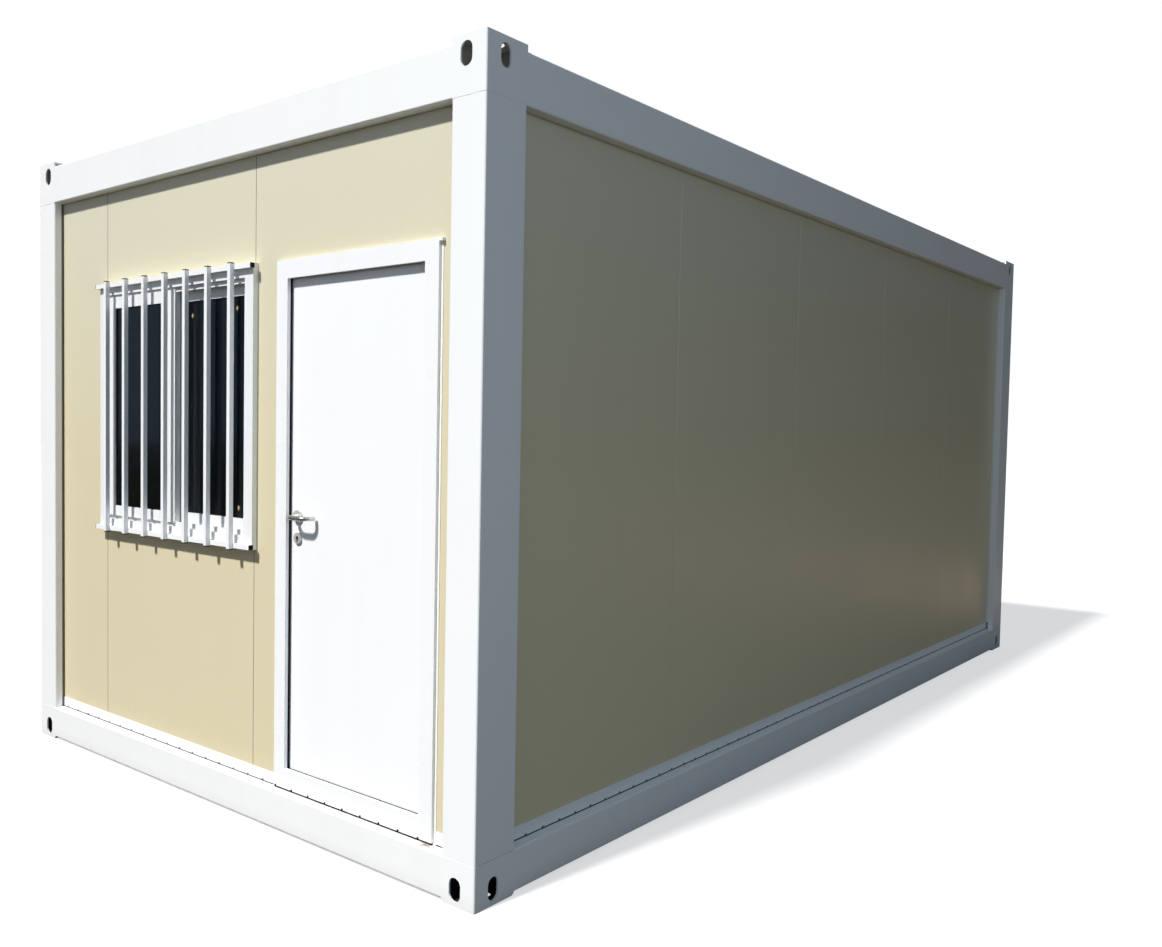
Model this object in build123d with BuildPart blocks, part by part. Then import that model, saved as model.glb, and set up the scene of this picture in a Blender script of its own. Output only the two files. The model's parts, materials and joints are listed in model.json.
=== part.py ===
from build123d import *
import os

# Flat-pack container cabin: a bolted steel frame of corner fittings, posts and folded beams,
# closed by sandwich panels, with a door and a barred sliding window in the front end.
# Millimetres. Origin at the middle of the plan, on the ground. The front end faces -Y.

# Whole cabin
overall_length = 6055
overall_width = 2990
overall_height = 2896

# Corner fittings, welded from plate
fitting_across = 150
fitting_along = 210
fitting_plate = 8
fitting_round = 7
seam_chamfer = 2
foot_height = 160
head_height = 201
foot_drop = 10
head_rise = 21
slot_width = 52
slot_height = 82
end_slot_inset = 88
side_slot_inset = 97
foot_slot_height = 58
head_slot_drop = 64
lock_slot_length = 110
lock_slot_width = 60

# Folded posts and beams
post_sheet = 4
post_lip = 36
beam_sheet = 4
bend_radius = 7
beam_flange = 150
floor_beam_lip = 40
floor_beam_foot = 60
gutter_edge = 30
gutter_depth = 60
gutter_upstand = 35

# Floor
joist_width = 50
joist_height = 120
joist_sheet = 3
joist_count = 12
joist_end_margin = 400
floor_thickness = 20

# Ribbed roof and ceiling sheets
roof_sheet_thickness = 3
roof_rib_width = 40
roof_rib_height = 18
roof_rib_count = 12
ceiling_sheet_thickness = 2
ceiling_rib_width = 24
ceiling_rib_height = 8
ceiling_rib_count = 26
rib_flank_angle = 60
sheet_bearing = 20

# Sandwich wall panels
wall_recess = 48
panel_thickness = 75
panel_module = 1150
panel_post_overlap = 35
side_end_gap = 29.5
panel_head_gap = 2
panel_joint = 2
joint_chamfer = 1
tongue_length = 12
tongue_width = 24

# Bays of the end walls, from left to right: a narrow panel, the window bay and the door bay
bay_shares = (2, 5, 5)

# Base track below the panels, on a bedding strip that is set back under it
track_sheet = 2
track_height = 49
track_cavity = 8
bedding_thickness = 4
bedding_setback = 3
notch_width = 12
notch_height = 6
notch_pitch = 100

# Seals and inner corner trims
seal_width = 8
trim_sheet = 2
trim_end_leg = 60
trim_side_leg = 130

# Window
window_height = 1160
window_head_drop = 433
window_face = 56
window_proud = 27
window_lap = 20
window_lip = 4
track_gap = 33
track_sink = 14
guide_reach = 20
guide_setback = 8
sash_thickness = 26
sash_rail = 62
sash_lift = 6
sash_step_height = 15
sash_step_depth = 11.5
meeting_overlap = 50
bead_depth = 9
glass_sink = 8

# Security bars
bar_size = 20
bar_count = 7
bar_end_margin = 110.5
bar_overrun = 3
rail_overhang = 5
rail_inset = 2

# Door frame
door_latch_margin = 157
door_hinge_margin = 115
door_sill_rise = 86
door_head_drop = 511
door_face = 66
door_head_face = 62
door_proud = 15
door_fin = 10
door_fin_thickness = 3
drip_overhang = 16
door_liner = 3
door_stop = 15
door_gasket_gap = 14
sill_shadow_height = 8
sill_shadow_depth = 8

# Door leaf
leaf_thickness = 45
leaf_overlap = 15
leaf_clearance = 5
leaf_round = 2

# Lever handle and key plates
lever_diameter = 18
lever_reach = 106
lever_stand_off = 61
lever_bend = 32
lever_end_gap = 14
lever_inset = 44
lever_height = 1254
rose_diameter = 52
rose_thickness = 10
spindle_clearance = 5
key_plate_drop = 85
key_plate_diameter = 44
key_plate_thickness = 9
keyhole_diameter = 17
keyhole_slot = 10
keyhole_height = 33

# Butt hinges on the inner face of the door
hinge_height = 100
hinge_plate_width = 32
hinge_plate_thickness = 2.5
hinge_barrel_diameter = 16
hinge_pin_diameter = 8
hinge_end_margin = 240
hinge_knuckle_share = 0.5

# Fits
running_clearance = 0.05
knuckle_clearance = 0.5
seat_clearance = 0.3
door_hole_clearance = 3
overrun = 5

# Places worked out from the sizes above
half_length = overall_length / 2
half_width = overall_width / 2
floor_beam_top = foot_height
roof_beam_bottom = overall_height - head_height
roof_beam_top = overall_height - head_rise
post_height = roof_beam_bottom - floor_beam_top
panel_face = wall_recess
panel_back = panel_face + panel_thickness
track_bottom = floor_beam_top + bedding_thickness
panel_bottom = track_bottom + track_sheet + track_cavity
panel_top = roof_beam_bottom - panel_head_gap
track_top = floor_beam_top + track_height
floor_top = floor_beam_top + floor_thickness
end_wall_half = half_width - fitting_across + panel_post_overlap
side_half = half_length - panel_back - side_end_gap

# The end walls' bays give the places of the window and the door
bay_part = 2 * end_wall_half / sum(bay_shares)
window_joint = bay_shares[0] * bay_part - end_wall_half
door_joint = window_joint + bay_shares[1] * bay_part
window_middle = (window_joint + door_joint) / 2
window_width = door_joint - window_joint + 2 * window_lap
window_bottom = roof_beam_bottom - window_head_drop - window_height
door_outer_left = door_joint + door_latch_margin
door_outer_right = end_wall_half - door_hinge_margin
door_middle = (door_outer_left + door_outer_right) / 2
door_outer_half = (door_outer_right - door_outer_left) / 2
door_clear_half = door_outer_half - door_face
door_clear_bottom = floor_beam_top + door_sill_rise
door_clear_top = roof_beam_bottom - door_head_drop

os.makedirs("parts", exist_ok=True)


def save(piece, name):
    """Label a finished piece and write it under its own name."""
    piece.part.label = name
    export_step(piece.part, f"parts/{name}.step")


# Each side of the cabin, seen in section: x runs inward from the frame's outer face, y runs up.
sections = {
    "front": Plane(origin=(0, -half_length, 0), x_dir=(0, 1, 0), z_dir=(1, 0, 0)),
    "right": Plane(origin=(half_width, 0, 0), x_dir=(-1, 0, 0), z_dir=(0, 1, 0)),
    "back": Plane(origin=(0, half_length, 0), x_dir=(0, -1, 0), z_dir=(-1, 0, 0)),
    "left": Plane(origin=(-half_width, 0, 0), x_dir=(1, 0, 0), z_dir=(0, -1, 0)),
}

# Each side of the cabin in plan: x runs along the wall, y runs inward from the outer face.
plans = {
    "front": Plane(origin=(0, -half_length, 0), x_dir=(1, 0, 0), z_dir=(0, 0, 1)),
    "right": Plane(origin=(half_width, 0, 0), x_dir=(0, 1, 0), z_dir=(0, 0, 1)),
    "back": Plane(origin=(0, half_length, 0), x_dir=(-1, 0, 0), z_dir=(0, 0, 1)),
    "left": Plane(origin=(-half_width, 0, 0), x_dir=(0, -1, 0), z_dir=(0, 0, 1)),
}

# The four corners are mirror images of the front right one.
corners = {
    "front_right": [],
    "front_left": [Plane.YZ],
    "back_right": [Plane.XZ],
    "back_left": [Plane.YZ, Plane.XZ],
}


def at_corner(piece, mirrors):
    """The front right piece, mirrored to another corner."""
    with BuildPart() as placed:
        add(piece.part)
    for plane in mirrors:
        with BuildPart() as flipped:
            mirror(placed.part, about=plane)
        placed = flipped
    return placed


# Corner fittings: hollow plate boxes with a slot in each outer face and one in the bearing face.
corner_x = half_width - fitting_across / 2
corner_y = -half_length + fitting_along / 2


def corner_fitting(bottom, height, slot_z, bearing_z, seam_face):
    """Front right fitting, with slots at the given heights and a chamfered seam against the post."""
    with BuildPart() as fitting:
        with BuildSketch(Plane.XY.offset(bottom)):
            with Locations((corner_x, corner_y)):
                Rectangle(fitting_across, fitting_along)
        extrude(amount=height)
        upright_edges = fitting.edges().filter_by(Axis.Z)
        fillet(upright_edges.sort_by(lambda e: e.center().X - e.center().Y)[-1], radius=fitting_round)
        seam_edges = fitting.faces().sort_by(Axis.Z)[seam_face].outer_wire().edges()
        chamfer(seam_edges.sort_by(lambda e: e.center().X - e.center().Y)[-3:], length=seam_chamfer)
        with BuildSketch(Plane.XY.offset(bottom + fitting_plate)):
            with Locations((corner_x, corner_y)):
                Rectangle(fitting_across - 2 * fitting_plate, fitting_along - 2 * fitting_plate)
        extrude(amount=height - 2 * fitting_plate, mode=Mode.SUBTRACT)
        with BuildSketch(Plane.XZ.offset(half_length)):
            with Locations((half_width - end_slot_inset, slot_z)):
                SlotOverall(slot_height, slot_width, rotation=90)
        extrude(amount=fitting_plate + overrun, both=True, mode=Mode.SUBTRACT)
        with BuildSketch(Plane.YZ.offset(half_width)):
            with Locations((side_slot_inset - half_length, slot_z)):
                SlotOverall(slot_height, slot_width, rotation=90)
        extrude(amount=fitting_plate + overrun, both=True, mode=Mode.SUBTRACT)
        with BuildSketch(Plane.XY.offset(bearing_z)):
            with Locations((corner_x, corner_y)):
                SlotOverall(lock_slot_length, lock_slot_width, rotation=90)
        extrude(amount=fitting_plate + overrun, both=True, mode=Mode.SUBTRACT)
    return fitting


head_slot_height = overall_height - head_slot_drop
foot = corner_fitting(0, foot_height, foot_slot_height, 0, seam_face=-1)
head = corner_fitting(roof_beam_bottom, head_height, head_slot_height, overall_height, seam_face=0)

# The feet are cut back to the underside of the beams where they meet them.
with BuildPart() as chamfered_foot:
    add(foot.part)
    low_edges = chamfered_foot.faces().sort_by(Axis.Z)[0].outer_wire().edges()
    end_edge = low_edges.filter_by(Axis.Y).sort_by(Axis.X)[0]
    side_edge = low_edges.filter_by(Axis.X).sort_by(Axis.Y)[-1]
    chamfer([end_edge, side_edge], length=foot_drop)

for corner, mirrors in corners.items():
    save(at_corner(chamfered_foot, mirrors), f"foot_fitting_{corner}")
    save(at_corner(head, mirrors), f"head_fitting_{corner}")

# Corner posts: one sheet folded round the corner, with a lip turned in beside each wall.
post_outline = [
    (half_width - fitting_across, post_lip - half_length),
    (half_width - fitting_across, -half_length),
    (half_width, -half_length),
    (half_width, fitting_along - half_length),
    (half_width - post_lip, fitting_along - half_length),
]
with BuildPart() as post:
    with BuildSketch(Plane.XY.offset(floor_beam_top)):
        with BuildLine():
            FilletPolyline(*post_outline, radius=bend_radius)
            offset(amount=post_sheet, side=Side.LEFT)
        make_face()
    extrude(amount=post_height)

for corner, mirrors in corners.items():
    save(at_corner(post, mirrors), f"corner_post_{corner}")

# Floor and roof beams: folded sheet, the same section on all four sides, between the fittings.
floor_beam_outline = [
    (floor_beam_foot, foot_drop + floor_beam_lip),
    (floor_beam_foot, foot_drop),
    (0, foot_drop),
    (0, floor_beam_top),
    (beam_flange, floor_beam_top),
    (beam_flange, floor_beam_top - floor_beam_lip),
]
gutter_floor = roof_beam_top - gutter_depth
roof_beam_outline = [
    (beam_flange, roof_beam_bottom),
    (0, roof_beam_bottom),
    (0, roof_beam_top),
    (gutter_edge, roof_beam_top),
    (gutter_edge, gutter_floor),
    (beam_flange, gutter_floor),
    (beam_flange, gutter_floor + gutter_upstand),
]
beam_lengths = {
    "front": overall_width - 2 * fitting_across,
    "right": overall_length - 2 * fitting_along,
    "back": overall_width - 2 * fitting_across,
    "left": overall_length - 2 * fitting_along,
}


def folded_beam(section, outline, length):
    """A beam of folded sheet on one side of the cabin."""
    with BuildPart() as beam:
        with BuildSketch(section):
            with BuildLine():
                FilletPolyline(*outline, radius=bend_radius)
                offset(amount=beam_sheet, side=Side.RIGHT)
            make_face()
        extrude(amount=length / 2, both=True)
    return beam


for side, section in sections.items():
    save(folded_beam(section, floor_beam_outline, beam_lengths[side]), f"floor_beam_{side}")
    save(folded_beam(section, roof_beam_outline, beam_lengths[side]), f"roof_beam_{side}")

# Floor joists: channels across the cabin between the lips of the long floor beams.
joist_pitch = (overall_length - 2 * joist_end_margin) / (joist_count - 1)
joist_middle = floor_beam_top - joist_height / 2
with BuildPart() as joists:
    with BuildSketch(Plane(origin=(0, 0, joist_middle), x_dir=(0, 1, 0), z_dir=(1, 0, 0))):
        with GridLocations(joist_pitch, 0, joist_count, 1):
            Rectangle(joist_width, joist_height)
            with Locations((joist_sheet, 0)):
                Rectangle(joist_width, joist_height - 2 * joist_sheet, mode=Mode.SUBTRACT)
    extrude(amount=half_width - beam_flange, both=True)
save(joists, "floor_joists")

# Floor board, inside the inner legs of the base tracks and the fins of the door frame.
floor_edge = panel_back + max(track_sheet, door_fin_thickness) + seat_clearance
with BuildPart() as floor:
    with BuildSketch(Plane.XY.offset(floor_beam_top)):
        Rectangle(overall_width - 2 * floor_edge, overall_length - 2 * floor_edge)
    extrude(amount=floor_thickness)
save(floor, "floor_board")


# Roof and ceiling: ribbed sheets whose ribs run across the cabin, notched round the head fittings.
def ribbed_sheet(bottom, edge, thickness, rib_width, rib_height, rib_count):
    """A sheet lying from edge to edge inside the outer faces, with hollow ribs standing on it."""
    sheet_length = overall_length - 2 * edge
    rib_plane = Plane(origin=(0, 0, bottom), x_dir=(0, 1, 0), z_dir=(1, 0, 0))
    rib_middle = (thickness + rib_height) / 2
    with BuildPart() as sheet:
        with BuildSketch(rib_plane):
            with Locations((0, thickness / 2)):
                Rectangle(sheet_length, thickness)
            with Locations((0, rib_middle)):
                with GridLocations(sheet_length / rib_count, 0, rib_count, 1):
                    Trapezoid(rib_width, thickness + rib_height, rib_flank_angle)
            with Locations((0, rib_height / 2)):
                with GridLocations(sheet_length / rib_count, 0, rib_count, 1):
                    Trapezoid(rib_width - 2 * thickness, rib_height, rib_flank_angle, mode=Mode.SUBTRACT)
        extrude(amount=half_width - edge, both=True)
        with BuildSketch(Plane.XY.offset(bottom - overrun)):
            with GridLocations(2 * corner_x, 2 * corner_y, 2, 2):
                Rectangle(fitting_across + 2 * seat_clearance, fitting_along + 2 * seat_clearance)
        extrude(amount=thickness + rib_height + 2 * overrun, mode=Mode.SUBTRACT)
    return sheet


roof_edge = beam_flange - sheet_bearing
roof = ribbed_sheet(
    gutter_floor + gutter_upstand,
    roof_edge,
    roof_sheet_thickness,
    roof_rib_width,
    roof_rib_height,
    roof_rib_count,
)
save(roof, "roof_sheet")

ceiling = ribbed_sheet(
    roof_beam_bottom + beam_sheet,
    roof_edge,
    ceiling_sheet_thickness,
    ceiling_rib_width,
    ceiling_rib_height,
    ceiling_rib_count,
)
save(ceiling, "ceiling_sheet")


# Sandwich panels of the plain walls, tongued and grooved at each joint.
def panel_row(plan, joints):
    """Full-height panels between the given joint places along one wall."""
    with BuildPart() as row:
        for start, end in zip(joints, joints[1:]):
            with BuildSketch(plan.offset(panel_bottom)):
                middle = ((start + end) / 2, panel_face + panel_thickness / 2)
                with Locations(middle):
                    body = Rectangle(end - start - panel_joint, panel_thickness)
                chamfer(body.vertices(), length=joint_chamfer)
                if end != joints[-1]:
                    with Locations((end, middle[1])):
                        Rectangle(2 * tongue_length, tongue_width)
                if start != joints[0]:
                    groove = 2 * (tongue_length + panel_joint)
                    with Locations((start, middle[1])):
                        Rectangle(groove, tongue_width + 2 * panel_joint, mode=Mode.SUBTRACT)
            extrude(amount=panel_top - panel_bottom)
    return row


side_panel_count = max(1, round(2 * side_half / panel_module))
side_panel_pitch = 2 * side_half / side_panel_count
side_joints = [side_panel_pitch * i - side_half for i in range(side_panel_count + 1)]
back_joints = [-end_wall_half, -door_joint, -window_joint, end_wall_half]
save(panel_row(plans["right"], side_joints), "right_wall_panels")
save(panel_row(plans["left"], side_joints), "left_wall_panels")
save(panel_row(plans["back"], back_joints), "back_wall_panels")


# Panels of the front end, split round the window and the doorway.
def front_panel(left, right, bottom, top):
    """A plain sandwich panel of the front end."""
    with BuildPart() as panel:
        with BuildSketch(plans["front"].offset(bottom)):
            with Locations(((left + right) / 2, panel_face + panel_thickness / 2)):
                body = Rectangle(right - left - panel_joint, panel_thickness)
            chamfer(body.vertices(), length=joint_chamfer)
        extrude(amount=top - bottom)
    return panel


window_hole_bottom = window_bottom + window_lap
window_hole_top = window_bottom + window_height - window_lap
door_outer_top = door_clear_top + door_head_face
door_hole_left = door_outer_left - door_hole_clearance
door_hole_right = door_outer_right + door_hole_clearance
door_hole_top = door_outer_top + door_hole_clearance

front_panels = {
    "front_panel_left": (-end_wall_half, window_joint, panel_bottom, panel_top),
    "front_panel_under_window": (window_joint, door_joint, panel_bottom, window_hole_bottom),
    "front_panel_over_window": (window_joint, door_joint, window_hole_top, panel_top),
}
for name, edges in front_panels.items():
    save(front_panel(*edges), name)

# The door bay is one panel with the doorway cut out of it.
with BuildPart() as door_bay:
    add(front_panel(door_joint, end_wall_half, panel_bottom, panel_top).part)
    with BuildSketch(plans["front"].offset(panel_bottom - overrun)):
        with Locations(((door_hole_left + door_hole_right) / 2, panel_face + panel_thickness / 2)):
            Rectangle(door_hole_right - door_hole_left, panel_thickness + 2 * overrun)
    extrude(amount=door_hole_top - panel_bottom + overrun, mode=Mode.SUBTRACT)
save(door_bay, "front_panel_door_bay")

# Base tracks: channels that hold the feet of the panels, with drain notches along the outer leg.
track_outline = [
    (panel_face - track_sheet, track_top),
    (panel_face - track_sheet, track_bottom),
    (panel_back + track_sheet, track_bottom),
    (panel_back + track_sheet, track_top),
]
door_track_half = door_outer_half + door_fin + seat_clearance
track_spans = [
    ("front", -end_wall_half, door_middle - door_track_half),
    ("front", door_middle + door_track_half, end_wall_half),
    ("right", -side_half, side_half),
    ("back", -end_wall_half, end_wall_half),
    ("left", -side_half, side_half),
]
with BuildPart() as tracks:
    for side, start, end in track_spans:
        with BuildSketch(sections[side].offset(start)):
            with BuildLine():
                channel = Polyline(*track_outline)
                offset(channel, amount=track_sheet, side=Side.LEFT)
            make_face()
        extrude(amount=end - start)
    for side, start, end in track_spans:
        notch_count = max(1, int((end - start) / notch_pitch))
        with BuildSketch(plans[side].offset(track_bottom)):
            with Locations(((start + end) / 2, panel_face - track_sheet / 2)):
                with GridLocations(notch_pitch, 0, notch_count, 1):
                    Rectangle(notch_width, track_sheet + panel_joint)
        extrude(amount=notch_height, mode=Mode.SUBTRACT)
save(tracks, "wall_base_tracks")

# Bedding strips: below the tracks, in the tracks under the panels, and in the recess of the door sill.
door_front = panel_face - door_proud
sill_notch_first = (track_spans[0][1] + track_spans[0][2]) / 2
sill_notch_middle = sill_notch_first + notch_pitch * round((door_middle - sill_notch_first) / notch_pitch)
sill_notch_count = int((2 * door_outer_half) / notch_pitch) + 1
sill_notch_height = floor_beam_top + sill_shadow_height + notch_height / 2


def sill_recess(setback, end):
    """The recess along the foot of the door sill with its notches, from a setback to its end depth."""
    with BuildPart() as recess:
        with BuildSketch(Plane.XZ.offset(half_length - door_front - setback)):
            with Locations((door_middle, floor_beam_top + sill_shadow_height / 2)):
                Rectangle(2 * door_outer_half, sill_shadow_height)
            with Locations((sill_notch_middle, sill_notch_height)):
                with GridLocations(notch_pitch, 0, sill_notch_count, 1):
                    Rectangle(notch_width, notch_height)
        extrude(amount=setback - end)
    return recess


with BuildPart() as bedding:
    for side, start, end in track_spans:
        with BuildSketch(plans[side].offset(floor_beam_top)):
            with Locations(((start + end) / 2, (panel_face + panel_back) / 2)):
                Rectangle(end - start, panel_thickness + 2 * (track_sheet - bedding_setback))
        extrude(amount=bedding_thickness)
        with BuildSketch(plans[side].offset(track_bottom + track_sheet)):
            with Locations(((start + end) / 2, (panel_face + panel_back) / 2)):
                Rectangle(end - start, panel_thickness)
        extrude(amount=track_cavity)
    add(sill_recess(bedding_setback, sill_shadow_depth).part)
save(bedding, "track_bedding_strips")

# Seals between the lips of the posts and the faces of the panels.
seal_height = panel_top - track_top
seal_thickness = panel_face - post_lip
seal_depth = (post_lip + panel_face) / 2
with BuildPart() as corner_seals:
    with BuildSketch(Plane.XY.offset(track_top)):
        with Locations((half_width - fitting_across + seal_width / 2, seal_depth - half_length)):
            Rectangle(seal_width, seal_thickness)
        with Locations((half_width - seal_depth, fitting_along - seal_width / 2 - half_length)):
            Rectangle(seal_thickness, seal_width)
    extrude(amount=seal_height)
with BuildPart() as seals:
    add(corner_seals.part)
    mirror(about=Plane.YZ)
    mirror(about=Plane.XZ)
save(seals, "post_seals")

# Inner corner trims: angles that close each corner of the room over the ends of the panels.
trim_corner_x = half_width - panel_back
trim_corner_y = panel_back - half_length
trim_outline = [
    (trim_corner_x - trim_end_leg, trim_corner_y),
    (trim_corner_x, trim_corner_y),
    (trim_corner_x, trim_corner_y + trim_side_leg),
]
with BuildPart() as corner_trim:
    with BuildSketch(Plane.XY.offset(track_top)):
        with BuildLine():
            angle = Polyline(*trim_outline)
            offset(angle, amount=trim_sheet, side=Side.LEFT)
        make_face()
    extrude(amount=seal_height)
with BuildPart() as trims:
    add(corner_trim.part)
    mirror(about=Plane.YZ)
    mirror(about=Plane.XZ)
save(trims, "inner_corner_trims")


# Frames in the front end are stacks of rectangular rings, each between two depths.
def ring_stack(rings):
    """Rings given as front depth, back depth, outer edges and inner edges (left, right, bottom, top)."""
    with BuildPart() as stack:
        for front, back, outer, inner in rings:
            with BuildSketch(Plane.XZ.offset(half_length - front)):
                with Locations(((outer[0] + outer[1]) / 2, (outer[2] + outer[3]) / 2)):
                    Rectangle(outer[1] - outer[0], outer[3] - outer[2])
                with Locations(((inner[0] + inner[1]) / 2, (inner[2] + inner[3]) / 2)):
                    Rectangle(inner[1] - inner[0], inner[3] - inner[2], mode=Mode.SUBTRACT)
            extrude(amount=front - back)
    return stack


def grown(edges, amount):
    """Edges moved outward by an amount on all four sides."""
    return (edges[0] - amount, edges[1] + amount, edges[2] - amount, edges[3] + amount)


# Window frame: a proud outer face, two sash tracks with lips between them, and a liner to the inside.
window_front = panel_face - window_proud
window_outer = (
    window_middle - window_width / 2,
    window_middle + window_width / 2,
    window_bottom,
    window_bottom + window_height,
)
window_body = (
    window_joint + panel_joint,
    door_joint - panel_joint,
    window_hole_bottom,
    window_hole_top,
)
window_clear = grown(window_outer, -window_face)
window_channel = grown(window_clear, track_sink)
outer_track = window_front + window_lip
middle_lip = outer_track + track_gap
inner_track = middle_lip + window_lip
inner_lip = inner_track + track_gap
window_rings = ring_stack(
    [
        (window_front, outer_track, window_outer, window_clear),
        (outer_track, panel_face, window_outer, window_channel),
        (panel_face, middle_lip, window_body, window_channel),
        (middle_lip, inner_track, window_body, window_clear),
        (inner_track, inner_lip, window_body, window_channel),
        (inner_lip, panel_back, window_body, window_clear),
    ]
)

# Sashes: the left one slides in the outer track, the right one in the inner track.
sash_half = (window_clear[1] - window_clear[0] + meeting_overlap) / 2
sash_side_sink = track_sink - seat_clearance
sash_bottom = window_channel[2]
sash_top = window_channel[3] - sash_lift
left_sash_outer = (
    window_clear[0] - sash_side_sink,
    window_clear[0] + sash_half,
    sash_bottom,
    sash_top,
)
right_sash_outer = (
    window_clear[1] - sash_half,
    window_clear[1] + sash_side_sink,
    sash_bottom,
    sash_top,
)


# The outer track's guides show at the head and the sill where no sash stands in it.
guide_left = left_sash_outer[1] + seat_clearance
guide_depth = guide_reach + track_sink
guide_spacing = window_channel[3] - window_channel[2] - guide_depth
with BuildPart() as window_frame:
    add(window_rings.part)
    with BuildSketch(Plane.XZ.offset(half_length - outer_track - guide_setback)):
        with Locations(((guide_left + window_channel[1]) / 2, (window_clear[2] + window_clear[3]) / 2)):
            with GridLocations(0, guide_spacing, 1, 2):
                Rectangle(window_channel[1] - guide_left, guide_depth)
    extrude(amount=-window_lip)
save(window_frame, "window_frame")


def sash_opening(left, right):
    """Edges of the glass that show inside a sash."""
    return (left, right, window_clear[2] + sash_rail, window_clear[3] - sash_rail)


left_opening = sash_opening(window_clear[0] + sash_rail, left_sash_outer[1] - sash_rail)
right_opening = sash_opening(right_sash_outer[0] + sash_rail, window_clear[1] - sash_rail)
sash_margin = (track_gap - sash_thickness) / 2
left_sash_front = outer_track + sash_margin
right_sash_front = inner_track + sash_margin


def sash(front, outer, opening):
    """A sash with a groove for the glass between its two beads."""
    groove = grown(opening, glass_sink)
    return ring_stack(
        [
            (front, front + bead_depth, outer, opening),
            (front + bead_depth, front + sash_thickness - bead_depth, outer, groove),
            (front + sash_thickness - bead_depth, front + sash_thickness, outer, opening),
        ]
    )


# The left sash is stepped back along its foot, over the roller track.
sash_step_top = window_clear[2] + sash_step_height
with BuildPart() as left_sash:
    add(sash(left_sash_front, left_sash_outer, left_opening).part)
    with BuildSketch(Plane.XZ.offset(half_length - left_sash_front)):
        with Locations(((left_sash_outer[0] + left_sash_outer[1]) / 2, (sash_bottom + sash_step_top) / 2)):
            Rectangle(left_sash_outer[1] - left_sash_outer[0], sash_step_top - sash_bottom)
    extrude(amount=-sash_step_depth, mode=Mode.SUBTRACT)
save(left_sash, "window_sash_left")
save(sash(right_sash_front, right_sash_outer, right_opening), "window_sash_right")

with BuildPart() as glass:
    for front, opening in ((left_sash_front, left_opening), (right_sash_front, right_opening)):
        pane = grown(opening, glass_sink - seat_clearance)
        pane_front = front + bead_depth + seat_clearance
        with BuildSketch(Plane.XZ.offset(half_length - pane_front)):
            with Locations(((pane[0] + pane[1]) / 2, (pane[2] + pane[3]) / 2)):
                Rectangle(pane[1] - pane[0], pane[3] - pane[2])
        extrude(amount=2 * bead_depth + 2 * seat_clearance - sash_thickness)
save(glass, "window_glass")

# Security bars: two rails on the window frame carry the upright square tubes.
window_centre_height = window_bottom + window_height / 2
rail_length = window_width + 2 * rail_overhang
rail_spacing = window_height - 2 * rail_inset - bar_size
bar_pitch = (window_width - 2 * bar_end_margin) / (bar_count - 1)
bar_height = window_height - 2 * rail_inset + 2 * bar_overrun
rail_front = window_front - bar_size
with BuildPart() as bars:
    with BuildSketch(Plane.XZ.offset(half_length - rail_front)):
        with Locations((window_middle, window_centre_height)):
            with GridLocations(0, rail_spacing, 1, 2):
                Rectangle(rail_length, bar_size)
    extrude(amount=-bar_size)
    with BuildSketch(Plane.XZ.offset(half_length - rail_front)):
        with Locations((window_middle, window_centre_height)):
            with GridLocations(bar_pitch, 0, bar_count, 1):
                Rectangle(bar_size, bar_height)
    extrude(amount=bar_size)
save(bars, "window_security_bars")

# Door frame: a face with a fin on the panels, a drip over the head, a stop, a rebate for the leaf
# and a liner inside.
stop_back = door_front + door_stop
leaf_front = stop_back + door_gasket_gap
leaf_back = leaf_front + leaf_thickness


def door_edges(half, bottom, top):
    """Edges of one ring of the door frame."""
    return (door_middle - half, door_middle + half, bottom, top)


rebate = leaf_overlap + leaf_clearance
body_outer = door_edges(door_outer_half, floor_beam_top, door_outer_top)
fin_outer = door_edges(door_outer_half + door_fin, floor_beam_top, door_outer_top + door_fin)
stop_inner = door_edges(door_clear_half, door_clear_bottom, door_clear_top)
rebate_inner = door_edges(door_clear_half + rebate, door_clear_bottom - rebate, door_clear_top + rebate)
liner_inner = door_edges(door_outer_half - door_liner, floor_top, door_outer_top - door_liner)
liner_back = panel_back + door_fin_thickness
fin_front = panel_face - door_fin_thickness
with BuildPart() as door_frame:
    add(
        ring_stack(
            [
                (door_front, stop_back, body_outer, stop_inner),
                (stop_back, leaf_back, body_outer, rebate_inner),
                (leaf_back, liner_back, body_outer, liner_inner),
                (fin_front, panel_face, fin_outer, rebate_inner),
                (panel_back, liner_back, fin_outer, liner_inner),
            ]
        ).part
    )
    with BuildSketch(Plane.XZ.offset(half_length - door_front)):
        with Locations((door_middle + drip_overhang / 2, door_outer_top + door_fin / 2)):
            Rectangle(2 * door_outer_half + drip_overhang, door_fin)
    extrude(amount=-door_proud)
    add(sill_recess(0, sill_shadow_depth).part, mode=Mode.SUBTRACT)

sill_plane = Plane.XY.offset(door_clear_bottom)
head_plane = Plane.XY.offset(door_clear_top)
with BuildPart() as door_sill:
    add(door_frame.part)
    split(bisect_by=sill_plane, keep=Keep.BOTTOM)
save(door_sill, "door_sill")

with BuildPart() as door_head:
    add(door_frame.part)
    split(bisect_by=head_plane, keep=Keep.TOP)
save(door_head, "door_head")

for name, keep in (("door_jamb_latch", Keep.BOTTOM), ("door_jamb_hinge", Keep.TOP)):
    with BuildPart() as jamb:
        add(door_frame.part)
        split(bisect_by=sill_plane, keep=Keep.TOP)
        split(bisect_by=head_plane, keep=Keep.BOTTOM)
        split(bisect_by=Plane.YZ.offset(door_middle), keep=keep)
    save(jamb, name)

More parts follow.
